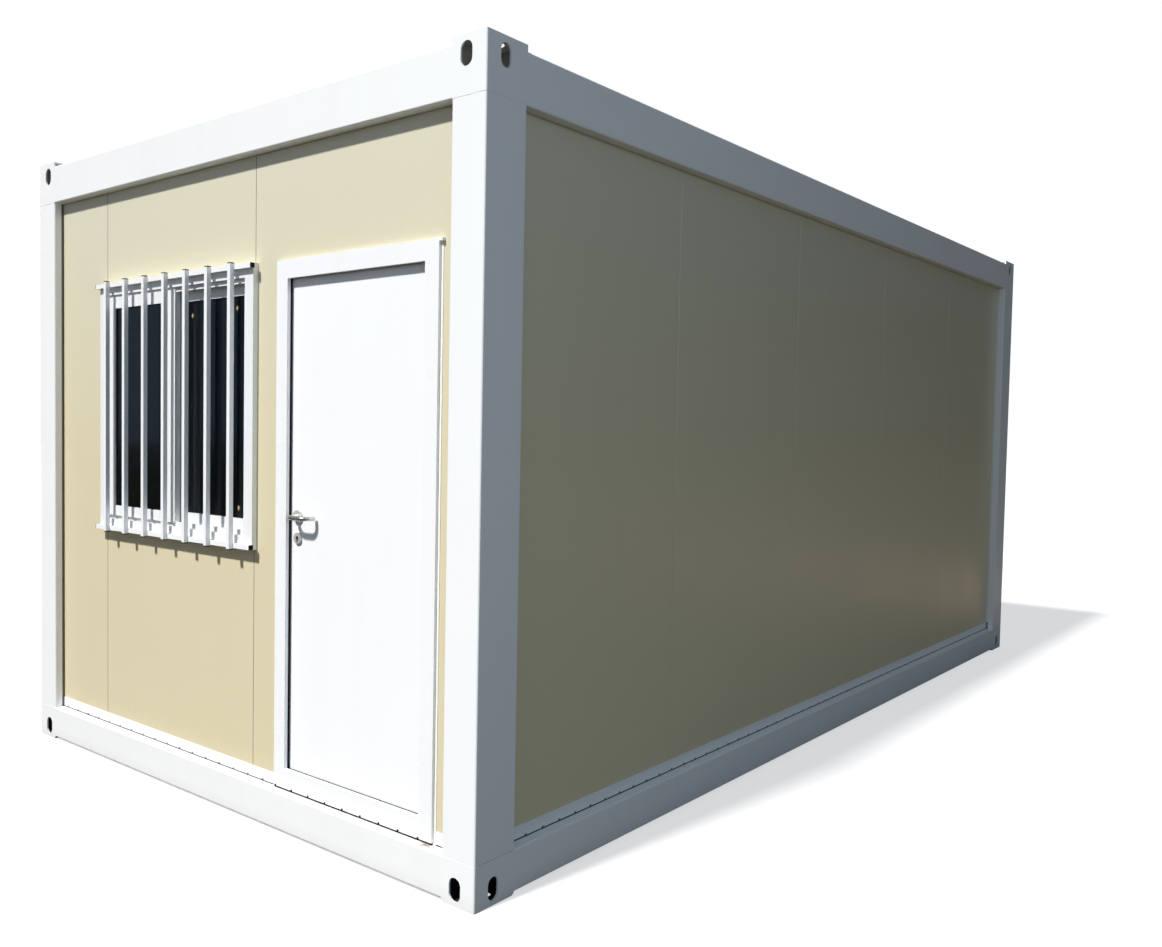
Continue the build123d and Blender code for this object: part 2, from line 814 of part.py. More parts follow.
# Door leaf, bored for the lever's spindle and for the key.
leaf_half = door_clear_half + leaf_overlap
leaf_height = door_clear_top - door_clear_bottom + 2 * leaf_overlap
leaf_middle_height = (door_clear_bottom + door_clear_top) / 2
lever_x = door_middle - door_clear_half + lever_inset
key_height = lever_height - key_plate_drop
with BuildPart() as leaf:
    with BuildSketch(Plane.XZ.offset(half_length - leaf_front)):
        with Locations((door_middle, leaf_middle_height)):
            Rectangle(2 * leaf_half, leaf_height)
        with Locations((lever_x, lever_height)):
            Circle(lever_diameter / 2 + spindle_clearance, mode=Mode.SUBTRACT)
        with Locations((lever_x, key_height)):
            Circle(keyhole_diameter / 2, mode=Mode.SUBTRACT)
            with Locations((0, (keyhole_diameter - keyhole_height) / 2)):
                Rectangle(keyhole_slot, keyhole_height - keyhole_diameter, mode=Mode.SUBTRACT)
    extrude(amount=-leaf_thickness)
    leaf_corners = leaf.edges().filter_by(Axis.Y).group_by(SortBy.LENGTH)[-1].sort_by(Axis.X)
    fillet(leaf_corners[:2], radius=leaf_round)
save(leaf, "door_leaf")

# Roses round the spindle and key plates, on both faces of the leaf.
with BuildPart() as plates:
    for face, direction in ((leaf_front, 1), (leaf_back, -1)):
        with BuildSketch(Plane.XZ.offset(half_length - face)):
            with Locations((lever_x, lever_height)):
                Circle(rose_diameter / 2)
                Circle(lever_diameter / 2 + running_clearance, mode=Mode.SUBTRACT)
        extrude(amount=direction * rose_thickness)
        with BuildSketch(Plane.XZ.offset(half_length - face)):
            with Locations((lever_x, key_height)):
                Circle(key_plate_diameter / 2)
                Circle(keyhole_diameter / 2, mode=Mode.SUBTRACT)
                with Locations((0, (keyhole_diameter - keyhole_height) / 2)):
                    Rectangle(keyhole_slot, keyhole_height - keyhole_diameter, mode=Mode.SUBTRACT)
        extrude(amount=direction * key_plate_thickness)
save(plates, "door_handle_plates")

# Lever handle: one round bar, bent out from the spindle, along the door and back towards it.
leaf_middle_y = (leaf_front + leaf_back) / 2 - half_length
lever_y = leaf_front - lever_stand_off - half_length
lever_end_y = leaf_front - lever_end_gap - half_length
with BuildPart() as lever:
    with BuildLine(Plane.XY.offset(lever_height)) as lever_path:
        FilletPolyline(
            (lever_x, leaf_middle_y),
            (lever_x, lever_y),
            (lever_x + lever_reach, lever_y),
            (lever_x + lever_reach, lever_end_y),
            radius=lever_bend,
        )
    with BuildSketch(Plane(origin=(lever_x, leaf_middle_y, lever_height), z_dir=(0, -1, 0))):
        Circle(lever_diameter / 2)
    sweep(path=lever_path.wires()[0])
    mirror(about=Plane.XZ.offset(-leaf_middle_y))
save(lever, "door_lever")

# Butt hinges: the pin and outer knuckles stay on the frame, the middle knuckle turns with the leaf.
hinge_x = door_middle + leaf_half + leaf_clearance / 2
hinge_y = leaf_back + hinge_barrel_diameter / 2 + knuckle_clearance - half_length
hinge_bottom = door_clear_bottom + hinge_end_margin
hinge_top = door_clear_top - hinge_end_margin - hinge_height
hinge_heights = [hinge_bottom, (hinge_bottom + hinge_top) / 2, hinge_top]
knuckle = hinge_height * hinge_knuckle_share
end_knuckle = (hinge_height - knuckle) / 2
plate_y = leaf_back + hinge_plate_thickness / 2 - half_length
plate_reach = hinge_plate_width - leaf_clearance


def hinge_half(bottom, height, direction):
    """A knuckle on the hinge line with its plate lying on the frame (1) or on the leaf (-1)."""
    with BuildPart() as half:
        with BuildSketch(Plane.XY.offset(bottom)):
            with Locations((hinge_x, hinge_y)):
                Circle(hinge_barrel_diameter / 2)
            with Locations((hinge_x + direction * (leaf_clearance + plate_reach) / 2, plate_y)):
                Rectangle(plate_reach, hinge_plate_thickness)
            with Locations((hinge_x + direction * leaf_clearance, (plate_y + hinge_y) / 2)):
                Rectangle(2 * hinge_plate_thickness, hinge_y - plate_y + hinge_plate_thickness)
        extrude(amount=height)
    return half


with BuildPart() as frame_hinges:
    for bottom in hinge_heights:
        add(hinge_half(bottom, end_knuckle, 1).part)
        add(hinge_half(bottom + hinge_height - end_knuckle, end_knuckle, 1).part)
        with BuildSketch(Plane.XY.offset(bottom)):
            with Locations((hinge_x, hinge_y)):
                Circle(hinge_pin_diameter / 2)
            with Locations((hinge_x + (2 * leaf_clearance + plate_reach) / 2, plate_y)):
                Rectangle(plate_reach - leaf_clearance, hinge_plate_thickness)
        extrude(amount=hinge_height)
save(frame_hinges, "hinge_frame_halves")

with BuildPart() as leaf_hinges:
    for bottom in hinge_heights:
        knuckle_bottom = bottom + end_knuckle + knuckle_clearance
        knuckle_height = knuckle - 2 * knuckle_clearance
        add(hinge_half(knuckle_bottom, knuckle_height, -1).part)
        with BuildSketch(Plane.XY.offset(bottom)):
            with Locations((hinge_x, hinge_y)):
                Circle(hinge_pin_diameter / 2 + running_clearance)
        extrude(amount=hinge_height, mode=Mode.SUBTRACT)
        with BuildSketch(Plane.XY.offset(bottom)):
            with Locations((hinge_x - (2 * leaf_clearance + plate_reach) / 2, plate_y)):
                Rectangle(plate_reach - leaf_clearance, hinge_plate_thickness)
        extrude(amount=hinge_height)
save(leaf_hinges, "hinge_leaf_halves")
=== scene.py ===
# %% [markdown]
# # A flat-pack container cabin
# The cabin is a white folded-steel frame filled with cream sandwich panels. Its solid parts come
# finished from the CAD model, already in metres and in the right place, so this lesson is about what
# the eye adds: finishes for every part, the small fittings that were too fine for the solids, plain
# light, and a camera at the photo's own angle.

# %% Load the cabin
import json
import math
import bmesh
import bpy
from mathutils import Matrix, Vector


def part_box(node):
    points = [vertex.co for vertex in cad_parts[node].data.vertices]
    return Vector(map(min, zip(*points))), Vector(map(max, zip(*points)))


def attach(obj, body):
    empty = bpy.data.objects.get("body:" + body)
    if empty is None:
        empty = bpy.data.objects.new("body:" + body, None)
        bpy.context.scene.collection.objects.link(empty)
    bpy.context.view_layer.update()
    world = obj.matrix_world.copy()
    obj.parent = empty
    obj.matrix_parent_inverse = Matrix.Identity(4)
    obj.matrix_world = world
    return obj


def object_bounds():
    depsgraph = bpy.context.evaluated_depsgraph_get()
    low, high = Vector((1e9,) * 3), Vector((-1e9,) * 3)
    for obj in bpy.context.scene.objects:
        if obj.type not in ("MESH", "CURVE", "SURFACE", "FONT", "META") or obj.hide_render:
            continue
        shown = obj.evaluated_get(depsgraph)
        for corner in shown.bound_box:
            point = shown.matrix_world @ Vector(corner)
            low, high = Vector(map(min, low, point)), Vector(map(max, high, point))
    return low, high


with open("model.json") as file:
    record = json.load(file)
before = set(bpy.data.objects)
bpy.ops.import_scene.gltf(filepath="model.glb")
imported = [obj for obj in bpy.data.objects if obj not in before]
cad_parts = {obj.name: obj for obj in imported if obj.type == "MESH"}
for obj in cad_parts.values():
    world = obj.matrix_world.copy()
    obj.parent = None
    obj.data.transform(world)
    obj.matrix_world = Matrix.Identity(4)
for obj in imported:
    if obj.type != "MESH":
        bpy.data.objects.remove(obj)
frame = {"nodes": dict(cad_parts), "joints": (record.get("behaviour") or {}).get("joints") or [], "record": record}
cad_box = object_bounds()
cabin = frame["nodes"]
scene = bpy.context.scene
print("cabin parts:", len(cabin), "box:", cad_box)

# %% [markdown]
# ## Camera
# The camera was found from the photo itself: six outline corners of the cabin, whose sizes are known,
# fix where the lens stood, how it was turned and how wide it sees. A camera object could be aimed by
# hand, but three turns written as numbers repeat exactly. The photo was cropped off-centre, so the
# lens is shifted sideways instead of turned, which keeps every edge at the slope it has in the photo.

# %% Place the camera
photo_width, photo_height = 1162, 947
focal_pixels = 1055.23
axis_pixel = (481.59, 472.40)
camera_place = Vector((3.7532, -5.6099, 1.6200))
# Three turns in radians: round the upright axis, up or down, and sideways.
yaw, pitch, roll = 0.717414, -0.043853, 0.015364

forward = Vector((-math.sin(yaw) * math.cos(pitch), math.cos(yaw) * math.cos(pitch), math.sin(pitch)))
level = forward.cross(Vector((0, 0, 1))).normalized()
upward = level.cross(forward)
right = math.cos(roll) * level + math.sin(roll) * upward
upward = math.cos(roll) * upward - math.sin(roll) * level
camera_turn = Matrix((right, upward, -forward)).transposed()

lens = bpy.data.cameras.new("photo_lens")
lens.sensor_width = 36
lens.lens = lens.sensor_width * focal_pixels / photo_width
lens.shift_x = (photo_width / 2 - axis_pixel[0]) / photo_width
lens.shift_y = (axis_pixel[1] - photo_height / 2) / photo_width
camera = bpy.data.objects.new("photo_camera", lens)
camera.matrix_world = Matrix.Translation(camera_place) @ camera_turn.to_4x4()
scene.collection.objects.link(camera)
scene.camera = camera
print("lens", round(lens.lens, 2), "mm, shift", round(lens.shift_x, 4), round(lens.shift_y, 4))

# %% [markdown]
# ## Helpers for every finish
# Colours are written as the sRGB hex codes that a paint chart uses, and Blender shades in linear
# light, so one function turns one into the other. A second one adds a node with its settings and
# plugs in its inputs, which keeps each finish short enough to read as a recipe. Where a node repeats
# the name of a socket, its number is used: on Map Range 0 is the value, 1 and 2 are the range it comes
# in and 3 and 4 the range it leaves in; on Mix 0 is the share, and 6 and 7 are the two colours. In many
# finishes one pattern sets colour, gloss and relief together, so a third function wires up all three.

# %% Colour and node helpers
def linear(code):
    """An sRGB hex colour as linear red, green, blue and alpha."""
    parts = [int(code[i : i + 2], 16) / 255 for i in (1, 3, 5)]
    return [p / 12.92 if p <= 0.04045 else ((p + 0.055) / 1.055) ** 2.4 for p in parts] + [1.0]


def add_node(tree, kind, inputs=None, **settings):
    """Add a node with its settings, and give its inputs a value or a link."""
    node = tree.nodes.new(kind)
    for name, value in settings.items():
        setattr(node, name, value)
    for key, value in (inputs or {}).items():
        if isinstance(value, bpy.types.NodeSocket):
            tree.links.new(value, node.inputs[key])
        else:
            node.inputs[key].default_value = value
    return node


def per_metre(millimetres):
    """Texture scale at which one feature is about this many millimetres across."""
    return 1000 / millimetres


print("white as written:", [round(c, 3) for c in linear("#F4F4F1")])

# %% Start a finish, and shade it by a pattern
def start_finish(name, constants):
    """A new material: its node tree, its shader with constant sockets set, and the place on the piece."""
    finish = bpy.data.materials.new(name)
    finish.use_nodes = True
    tree = finish.node_tree
    shader = tree.nodes["Principled BSDF"]
    for key, value in constants.items():
        shader.inputs[key].default_value = value
    place = add_node(tree, "ShaderNodeTexCoord").outputs["Object"]
    return finish, tree, shader, place


def shade_by(pattern, tree, shader, colours, gloss, relief=0.0, span=(0.0, 1.0)):
    """Let a pattern set colour, roughness over its span and, given a relief in millimetres, bumps."""
    first, second = [linear(code) for code in colours]
    tone = add_node(tree, "ShaderNodeMix", {0: pattern, 6: first, 7: second}, data_type="RGBA")
    shine = add_node(
        tree, "ShaderNodeMapRange", {0: pattern, 1: span[0], 2: span[1], 3: gloss[0], 4: gloss[1]}
    )
    tree.links.new(tone.outputs[2], shader.inputs["Base Color"])
    tree.links.new(shine.outputs[0], shader.inputs["Roughness"])
    if relief:
        bumps = add_node(tree, "ShaderNodeBump", {"Height": pattern, "Distance": relief / 1000})
        tree.links.new(bumps.outputs[0], shader.inputs["Normal"])


print("scale of a 350 mm pattern:", round(per_metre(350), 2))

# %% [markdown]
# ## Painted steel
# Frame, panels, tracks, bars and door are all thin steel sheet with a baked coat of paint. Three
# things give such paint away: the skin is not quite flat (the sheet waves a little between its folds,
# and the coat has a fine orange peel), its gloss changes in soft patches, and rain leaves faint
# upright streaks and splash near the ground. One recipe with named amounts makes them all, so every
# painted part belongs to the same cabin.

# %% Recipe for painted steel
def painted_steel(name, paint, grime, gloss, sheen, peel, wave, splash_height, streaks):
    """Paint on sheet steel: gloss is a roughness range, peel and wave are (size mm, depth mm)."""
    finish, tree, shader, place = start_finish(name, {"IOR": 1.5, "Specular IOR Level": sheen})
    patches = add_node(tree, "ShaderNodeTexNoise", {"Vector": place, "Scale": per_metre(350), "Detail": 3.0})
    roughness = add_node(
        tree, "ShaderNodeMapRange", {0: patches.outputs[0], 1: 0.3, 2: 0.7, 3: gloss[0], 4: gloss[1]}
    )
    tree.links.new(roughness.outputs[0], shader.inputs["Roughness"])

    # Rain streaks: broad noise drawn out twenty times in height.
    upright = add_node(tree, "ShaderNodeMapping", {"Vector": place, "Scale": (1.0, 1.0, 0.05)})
    runs = add_node(
        tree, "ShaderNodeTexNoise", {"Vector": upright.outputs[0], "Scale": per_metre(140), "Detail": 2.0}
    )
    streak = add_node(tree, "ShaderNodeMapRange", {0: runs.outputs[0], 1: 0.45, 2: 0.9, 3: 0.0, 4: streaks})

    # Splash: strongest at the ground, broken up by a finer noise.
    height = add_node(tree, "ShaderNodeSeparateXYZ", {0: place}).outputs["Z"]
    rise = add_node(tree, "ShaderNodeMapRange", {0: height, 1: 0.0, 2: splash_height, 3: 0.35, 4: 0.0})
    specks = add_node(tree, "ShaderNodeTexNoise", {"Vector": place, "Scale": per_metre(28), "Detail": 6.0})
    splash = add_node(
        tree, "ShaderNodeMath", {0: rise.outputs[0], 1: specks.outputs[0]}, operation="MULTIPLY"
    )
    dirt = add_node(tree, "ShaderNodeMath", {0: streak.outputs[0], 1: splash.outputs[0]}, operation="ADD")
    dirt.use_clamp = True
    colour = add_node(
        tree, "ShaderNodeMix", {0: dirt.outputs[0], 6: linear(paint), 7: linear(grime)}, data_type="RGBA"
    )
    tree.links.new(colour.outputs[2], shader.inputs["Base Color"])

    # The sheet's waves carry the peel of the coat on top of them.
    swell = add_node(
        tree, "ShaderNodeTexNoise", {"Vector": place, "Scale": per_metre(wave[0]), "Detail": 1.0}
    )
    skin = add_node(
        tree, "ShaderNodeTexNoise", {"Vector": place, "Scale": per_metre(peel[0]), "Detail": 2.0}
    )
    bend = add_node(
        tree, "ShaderNodeBump", {"Height": swell.outputs[0], "Distance": wave[1] / 1000, "Strength": 1.0}
    )
    coat = add_node(
        tree,
        "ShaderNodeBump",
        {"Height": skin.outputs[0], "Distance": peel[1] / 1000, "Strength": 1.0, "Normal": bend.outputs[0]},
    )
    tree.links.new(coat.outputs[0], shader.inputs["Normal"])
    return finish


print("recipe:", painted_steel.__name__)

# %% Coats of the frame, the panels and the door
# Orange peel is 2 to 4 mm across on the real coat; it is drawn at 8 mm or more so that it shows.
frame_coat = {
    "paint": "#F2F3F2", "grime": "#B9B0A0", "gloss": (0.30, 0.42), "sheen": 0.25,
    "peel": (9, 0.04), "wave": (420, 1.6), "splash_height": 0.06, "streaks": 0.05,
}
frame_paint = painted_steel("white_powder_coat", **frame_coat)
panel_skin = painted_steel(
    "cream_coil_coat", paint="#DDD2B0", grime="#A2967A", gloss=(0.30, 0.36), sheen=0.55,
    peel=(12, 0.02), wave=(600, 2.5), splash_height=0.36, streaks=0.02,
)
track_paint = painted_steel(
    "white_track_paint", paint="#EDEFEF", grime="#A9A296", gloss=(0.34, 0.48), sheen=0.25,
    peel=(9, 0.04), wave=(300, 0.6), splash_height=0.24, streaks=0.08,
)
ceiling_paint = painted_steel(
    "white_ceiling_coil_coat", paint="#EEF0EE", grime="#D9D8D2", gloss=(0.38, 0.5), sheen=0.3,
    peel=(12, 0.03), wave=(500, 2.0), splash_height=0.02, streaks=0.03,
)
bar_paint = painted_steel(
    "white_bar_enamel", paint="#F2F3F3", grime="#B7AE9E", gloss=(0.26, 0.36), sheen=0.3,
    peel=(8, 0.05), wave=(160, 0.4), splash_height=0.02, streaks=0.06,
)
door_frame_paint = painted_steel(
    "white_frame_enamel", paint="#F3F4F4", grime="#AFA694", gloss=(0.26, 0.36), sheen=0.3,
    peel=(9, 0.04), wave=(300, 0.8), splash_height=0.26, streaks=0.05,
)
door_paint = painted_steel(
    "white_door_coat", paint="#F5F6F6", grime="#B8B0A2", gloss=(0.30, 0.42), sheen=0.3,
    peel=(10, 0.04), wave=(500, 2.2), splash_height=0.30, streaks=0.04,
)
print("coats:", [m.name for m in bpy.data.materials if m.name.startswith(("white", "cream"))])

# %% [markdown]
# ## Weather and painted shade on the paint
# The cream panels turn a little lighter and less yellow towards the top, rusty water drips from the
# door sill, and painted shade darkens the inside of the hollow corner fittings. Each of these is
# a second colour laid over the first through a mask, so the coat below keeps its gloss and its waves.
# A mask could be painted by hand, but one worked out from places and sizes stays sharp up close.

# %% Lighter panel tops and a rusty drip
def reopen(finish):
    """The node tree of a finish, and the place on the piece that its patterns start from."""
    tree = finish.node_tree
    return tree, tree.nodes["Texture Coordinate"].outputs["Object"]


def overlay(finish, mask, code):
    """Lay a second colour over the one a finish already has, where the mask is above zero."""
    tree = finish.node_tree
    base = tree.nodes["Principled BSDF"].inputs["Base Color"]
    coat = base.links[0].from_socket
    mixed = add_node(tree, "ShaderNodeMix", {0: mask, 6: coat, 7: linear(code)}, data_type="RGBA")
    tree.links.new(mixed.outputs[2], base)


# Higher up, the cream turns a little lighter and less yellow.
tree, place = reopen(panel_skin)
height = add_node(tree, "ShaderNodeSeparateXYZ", {0: place}).outputs["Z"]
lighter_upward = add_node(tree, "ShaderNodeMapRange", {0: height, 1: 1.5, 2: 2.7, 3: 0.0, 4: 0.65})
overlay(panel_skin, lighter_upward.outputs[0], "#DAD8C4")

# Rusty water has dripped from the right end of the door sill onto the front floor beam.
drip_place = (1.246, -3.006, 0.160)
drip_tightness = (16.0, 24.0, 45.0)
tree, place = reopen(frame_paint)
offset = add_node(tree, "ShaderNodeVectorMath", {0: place, 1: drip_place}, operation="SUBTRACT")
spread = add_node(
    tree, "ShaderNodeVectorMath", {0: offset.outputs[0], 1: drip_tightness}, operation="MULTIPLY"
)
away = add_node(tree, "ShaderNodeVectorMath", {0: spread.outputs[0]}, operation="LENGTH")
blots = add_node(tree, "ShaderNodeTexNoise", {"Vector": place, "Scale": per_metre(9), "Detail": 4.0})
ragged = add_node(tree, "ShaderNodeMath", {0: blots.outputs[0], 1: 1.6, 2: -0.3}, operation="MULTIPLY_ADD")
rim = add_node(tree, "ShaderNodeMath", {0: ragged.outputs[0], 1: away.outputs["Value"]}, operation="SUBTRACT")
stain = add_node(tree, "ShaderNodeMapRange", {0: rim.outputs[0], 1: 0.0, 2: 0.35, 3: 0.0, 4: 0.85})
overlay(frame_paint, stain.outputs[0], "#8A6038")
print("weathered:", panel_skin.name, frame_paint.name)

# %% Painted shade inside the corner fittings
# Inside the 8 mm plates of the corner fittings the paint is darkened as painted shade: a light grey in
# the head ones, and a dark grey in the foot ones. The cabin's far upper corner is the outside of a fitting.
plate_margin = Vector((0.0065, 0.0065, 0.0060))
inside_plates = Vector(cad_box[1]) - plate_margin


def fitting_finish_shaded_inside(name, inside):
    """Frame paint darkened inside the plates of a corner fitting, as painted shade."""
    finish = painted_steel(name, **frame_coat)
    tree, place = reopen(finish)
    reach = add_node(tree, "ShaderNodeVectorMath", {0: place}, operation="ABSOLUTE")
    axes = add_node(tree, "ShaderNodeSeparateXYZ", {0: reach.outputs[0]}).outputs
    inside_shade_mask = None
    for axis, limit in zip("XYZ", inside_plates):
        within = add_node(tree, "ShaderNodeMath", {0: axes[axis], 1: limit}, operation="LESS_THAN").outputs[0]
        if inside_shade_mask:
            within = add_node(tree, "ShaderNodeMath", {0: inside_shade_mask, 1: within}, operation="MULTIPLY").outputs[0]
        inside_shade_mask = within
    overlay(finish, inside_shade_mask, inside)
    return finish


head_paint_shaded_inside = fitting_finish_shaded_inside("white_head_fitting_painted_shade", "#C4C2BC")
foot_paint_shaded_inside = fitting_finish_shaded_inside("white_foot_fitting_painted_shade", "#3A3733")
print("fittings:", head_paint_shaded_inside.name, foot_paint_shaded_inside.name)

# %% [markdown]
# ## Moulded and rolled finishes
# The window is extruded plastic, whose die leaves hair-fine lines along each bar, and its panes are
# float glass, tinted here because hardly any light comes back out of the room. The seals are matt black
# rubber. Underneath and on the roof the steel is only zinc coated, and zinc freezes into large flat
# crystals that each catch the light differently: a cell pattern, not a noise. The floor is vinyl with
# pressed-in flecks.
# Handles are stainless steel brushed along the bar, and hinges are zinc-bright mild steel.

# %% Plastic and rubber
# The die lines are much finer than a millimetre; they are drawn 16 mm wide so that they show.
window_plastic, tree, shader, place = start_finish("extruded_window_plastic", {"IOR": 1.53})
drawn = add_node(tree, "ShaderNodeMapping", {"Vector": place, "Scale": (1.0, 1.0, 0.08)})
die_lines = add_node(
    tree, "ShaderNodeTexNoise", {"Vector": drawn.outputs[0], "Scale": per_metre(16), "Detail": 3.0}
)
shade_by(die_lines.outputs[0], tree, shader, ("#F4F5F4", "#E6E8E8"), (0.20, 0.32), 0.04, (0.3, 0.7))


def rubber(name, dark, light):
    """Matt rubber with a patchy grey bloom that weather brings out."""
    finish, tree, shader, place = start_finish(name, {"IOR": 1.52, "Specular IOR Level": 0.15})
    bloom = add_node(tree, "ShaderNodeTexNoise", {"Vector": place, "Scale": per_metre(14), "Detail": 5.0})
    shade_by(bloom.outputs[0], tree, shader, (dark, light), (0.55, 0.85), 0.3)
    return finish


seal_rubber = rubber("black_seal_rubber", "#080808", "#171615")
# The post seals are coloured as painted shade of the gap between the post lip and the panel.
seal_shade = rubber("post_seal_painted_shade", "#5C564A", "#857D6C")

# On the long sides the seals take the posts' white, so no line of painted shade shows there.
long_side_seals = 1.43
tree, place = reopen(seal_shade)
reach = add_node(tree, "ShaderNodeVectorMath", {0: place}, operation="ABSOLUTE")
sideways = add_node(tree, "ShaderNodeSeparateXYZ", {0: reach.outputs[0]}).outputs["X"]
white_on_long_sides = add_node(tree, "ShaderNodeMath", {0: sideways, 1: long_side_seals}, operation="GREATER_THAN")
overlay(seal_shade, white_on_long_sides.outputs[0], "#E2E4E4")
print("moulded:", window_plastic.name, seal_rubber.name, seal_shade.name)

# %% Glass
# A film of dust makes the panes a little rougher in patches.
window_glass, tree, shader, place = start_finish(
    "tinted_float_glass",
    {"IOR": 1.45, "Transmission Weight": 1.0, "Specular IOR Level": 0.10, "Specular Tint": linear("#A9C6E2")},
)
film = add_node(tree, "ShaderNodeTexNoise", {"Vector": place, "Scale": per_metre(60), "Detail": 6.0})
shade_by(film.outputs[0], tree, shader, ("#27343F", "#303E4A"), (0.08, 0.18), span=(0.45, 0.8))
print("panes:", window_glass.name)

# %% Zinc and vinyl
galvanised_steel, tree, shader, place = start_finish("spangled_zinc", {"Metallic": 0.6})
spangle = add_node(tree, "ShaderNodeTexVoronoi", {"Vector": place, "Scale": per_metre(28), "Randomness": 1.0})
crystal = add_node(tree, "ShaderNodeSeparateColor", {0: spangle.outputs["Color"]})
crystal_tones = {0: crystal.outputs[0], 6: linear("#A2A8AB"), 7: linear("#B9BFC2")}
tone = add_node(tree, "ShaderNodeMix", crystal_tones, data_type="RGBA")
shine = add_node(tree, "ShaderNodeMapRange", {0: crystal.outputs[1], 3: 0.34, 4: 0.55})
tree.links.new(tone.outputs[2], shader.inputs["Base Color"])
tree.links.new(shine.outputs[0], shader.inputs["Roughness"])

# Most flecks are mid grey, and a few are darker or lighter; wear changes the gloss in patches.
floor_vinyl, tree, shader, place = start_finish("flecked_floor_vinyl", {"IOR": 1.5})
flecks = add_node(tree, "ShaderNodeTexVoronoi", {"Vector": place, "Scale": per_metre(14), "Randomness": 1.0})
pick = add_node(tree, "ShaderNodeSeparateColor", {0: flecks.outputs["Color"]})
ramp = add_node(tree, "ShaderNodeValToRGB", {0: pick.outputs[0]})
ramp.color_ramp.interpolation = "CONSTANT"
ramp.color_ramp.elements[0].color = linear("#6B6A67")
ramp.color_ramp.elements[1].color = linear("#96948E")
ramp.color_ramp.elements[1].position = 0.85
dark_fleck = ramp.color_ramp.elements.new(0.7)
dark_fleck.color = linear("#4C4B4A")
wear = add_node(tree, "ShaderNodeTexNoise", {"Vector": place, "Scale": per_metre(500), "Detail": 4.0})
shine = add_node(tree, "ShaderNodeMapRange", {0: wear.outputs[0], 1: 0.3, 2: 0.7, 3: 0.38, 4: 0.62})
tree.links.new(ramp.outputs[0], shader.inputs["Base Color"])
tree.links.new(shine.outputs[0], shader.inputs["Roughness"])
print("rolled:", galvanised_steel.name, floor_vinyl.name)

# %% Brushed and bright steel
# Brush lines are finer than a hair; they are drawn 3 mm wide so that they show up close.
def brushed_steel(name, colours, gloss, direction, metal):
    """Metal with brush lines: the scale is small along the brushing direction."""
    finish, tree, shader, place = start_finish(name, {"Metallic": metal, "Anisotropic": 0.4})
    brushed = add_node(tree, "ShaderNodeMapping", {"Vector": place, "Scale": direction})
    lines = add_node(
        tree, "ShaderNodeTexNoise", {"Vector": brushed.outputs[0], "Scale": per_metre(3), "Detail": 4.0}
    )
    shade_by(lines.outputs[0], tree, shader, colours, gloss, 0.05)
    return finish


handle_steel = brushed_steel("brushed_stainless", ("#B5B2AC", "#E2DFDA"), (0.15, 0.25), (0.08, 1.0, 1.0), 1.0)
plate_steel = brushed_steel("satin_stainless", ("#C4C1BB", "#E4E1DC"), (0.30, 0.42), (0.3, 1.0, 1.0), 0.45)
# The lock cylinder is real, and its near-black steel is painted shade that keeps the keyhole dark.
lock_steel_painted_dark = brushed_steel("lock_painted_shade_steel", ("#0B0A09", "#1C1A17"), (0.45, 0.60), (1.0, 1.0, 1.0), 0.2)
hinge_steel = brushed_steel("zinc_bright_steel", ("#A3A6A8", "#C9CCCD"), (0.28, 0.42), (1.0, 1.0, 0.1), 0.8)
print("metals:", handle_steel.name, plate_steel.name, lock_steel_painted_dark.name, hinge_steel.name)

# %% [markdown]
# ## Dress the cabin
# Every CAD part names the finish it wears in the imported record, so the parts are dressed by reading
# that list. Assigning by hand would work too, but with some fifty names it is easy to miss one, and a
# missed part would be left in a flat grey. A few parts wear a finish of their own: the corner fittings
# and post seals carry painted shade, and the handle plates are satin steel.

# %% Give each part its finish
finishes = {
    "frame_paint": frame_paint,
    "galvanised_steel": galvanised_steel,
    "floor_vinyl": floor_vinyl,
    "ceiling_paint": ceiling_paint,
    "panel_skin": panel_skin,
    "track_paint": track_paint,
    "seal_rubber": seal_rubber,
    "window_plastic": window_plastic,
    "window_glass": window_glass,
    "bar_paint": bar_paint,
    "door_frame_paint": door_frame_paint,
    "door_paint": door_paint,
    "hinge_steel": hinge_steel,
    "handle_steel": handle_steel,
}
own_finishes = {
    "head_fitting": head_paint_shaded_inside,
    "foot_fitting": foot_paint_shaded_inside,
    "post_seals": seal_shade,
    "door_handle_plates": plate_steel,
}
for part in frame["record"]["subparts"]:
    finish = finishes[part["material_slot"]]
    for part_name, own_finish in own_finishes.items():
        if part_name in part["node"]:
            finish = own_finish
    for slot in cabin[part["node"]].material_slots:
        slot.material = finish

# %% [markdown]
# ## Shapes for small fittings
# Caps, screws and pads are small moulded or turned bodies. Each can be described by a few outlines
# stacked along an axis, as on a lathe or in a mould, and closed at both ends. Lofting those outlines
# gives a clean closed skin with very few faces, where scaled cubes and cylinders would show hard,
# wrong edges up close.

# %% Loft outlines into closed bodies
def outline(radii, start=0.0):
    """Points round an axis in millimetres, one for each radius."""
    step = 2 * math.pi / len(radii)
    return [(r * math.cos(start + i * step), r * math.sin(start + i * step)) for i, r in enumerate(radii)]


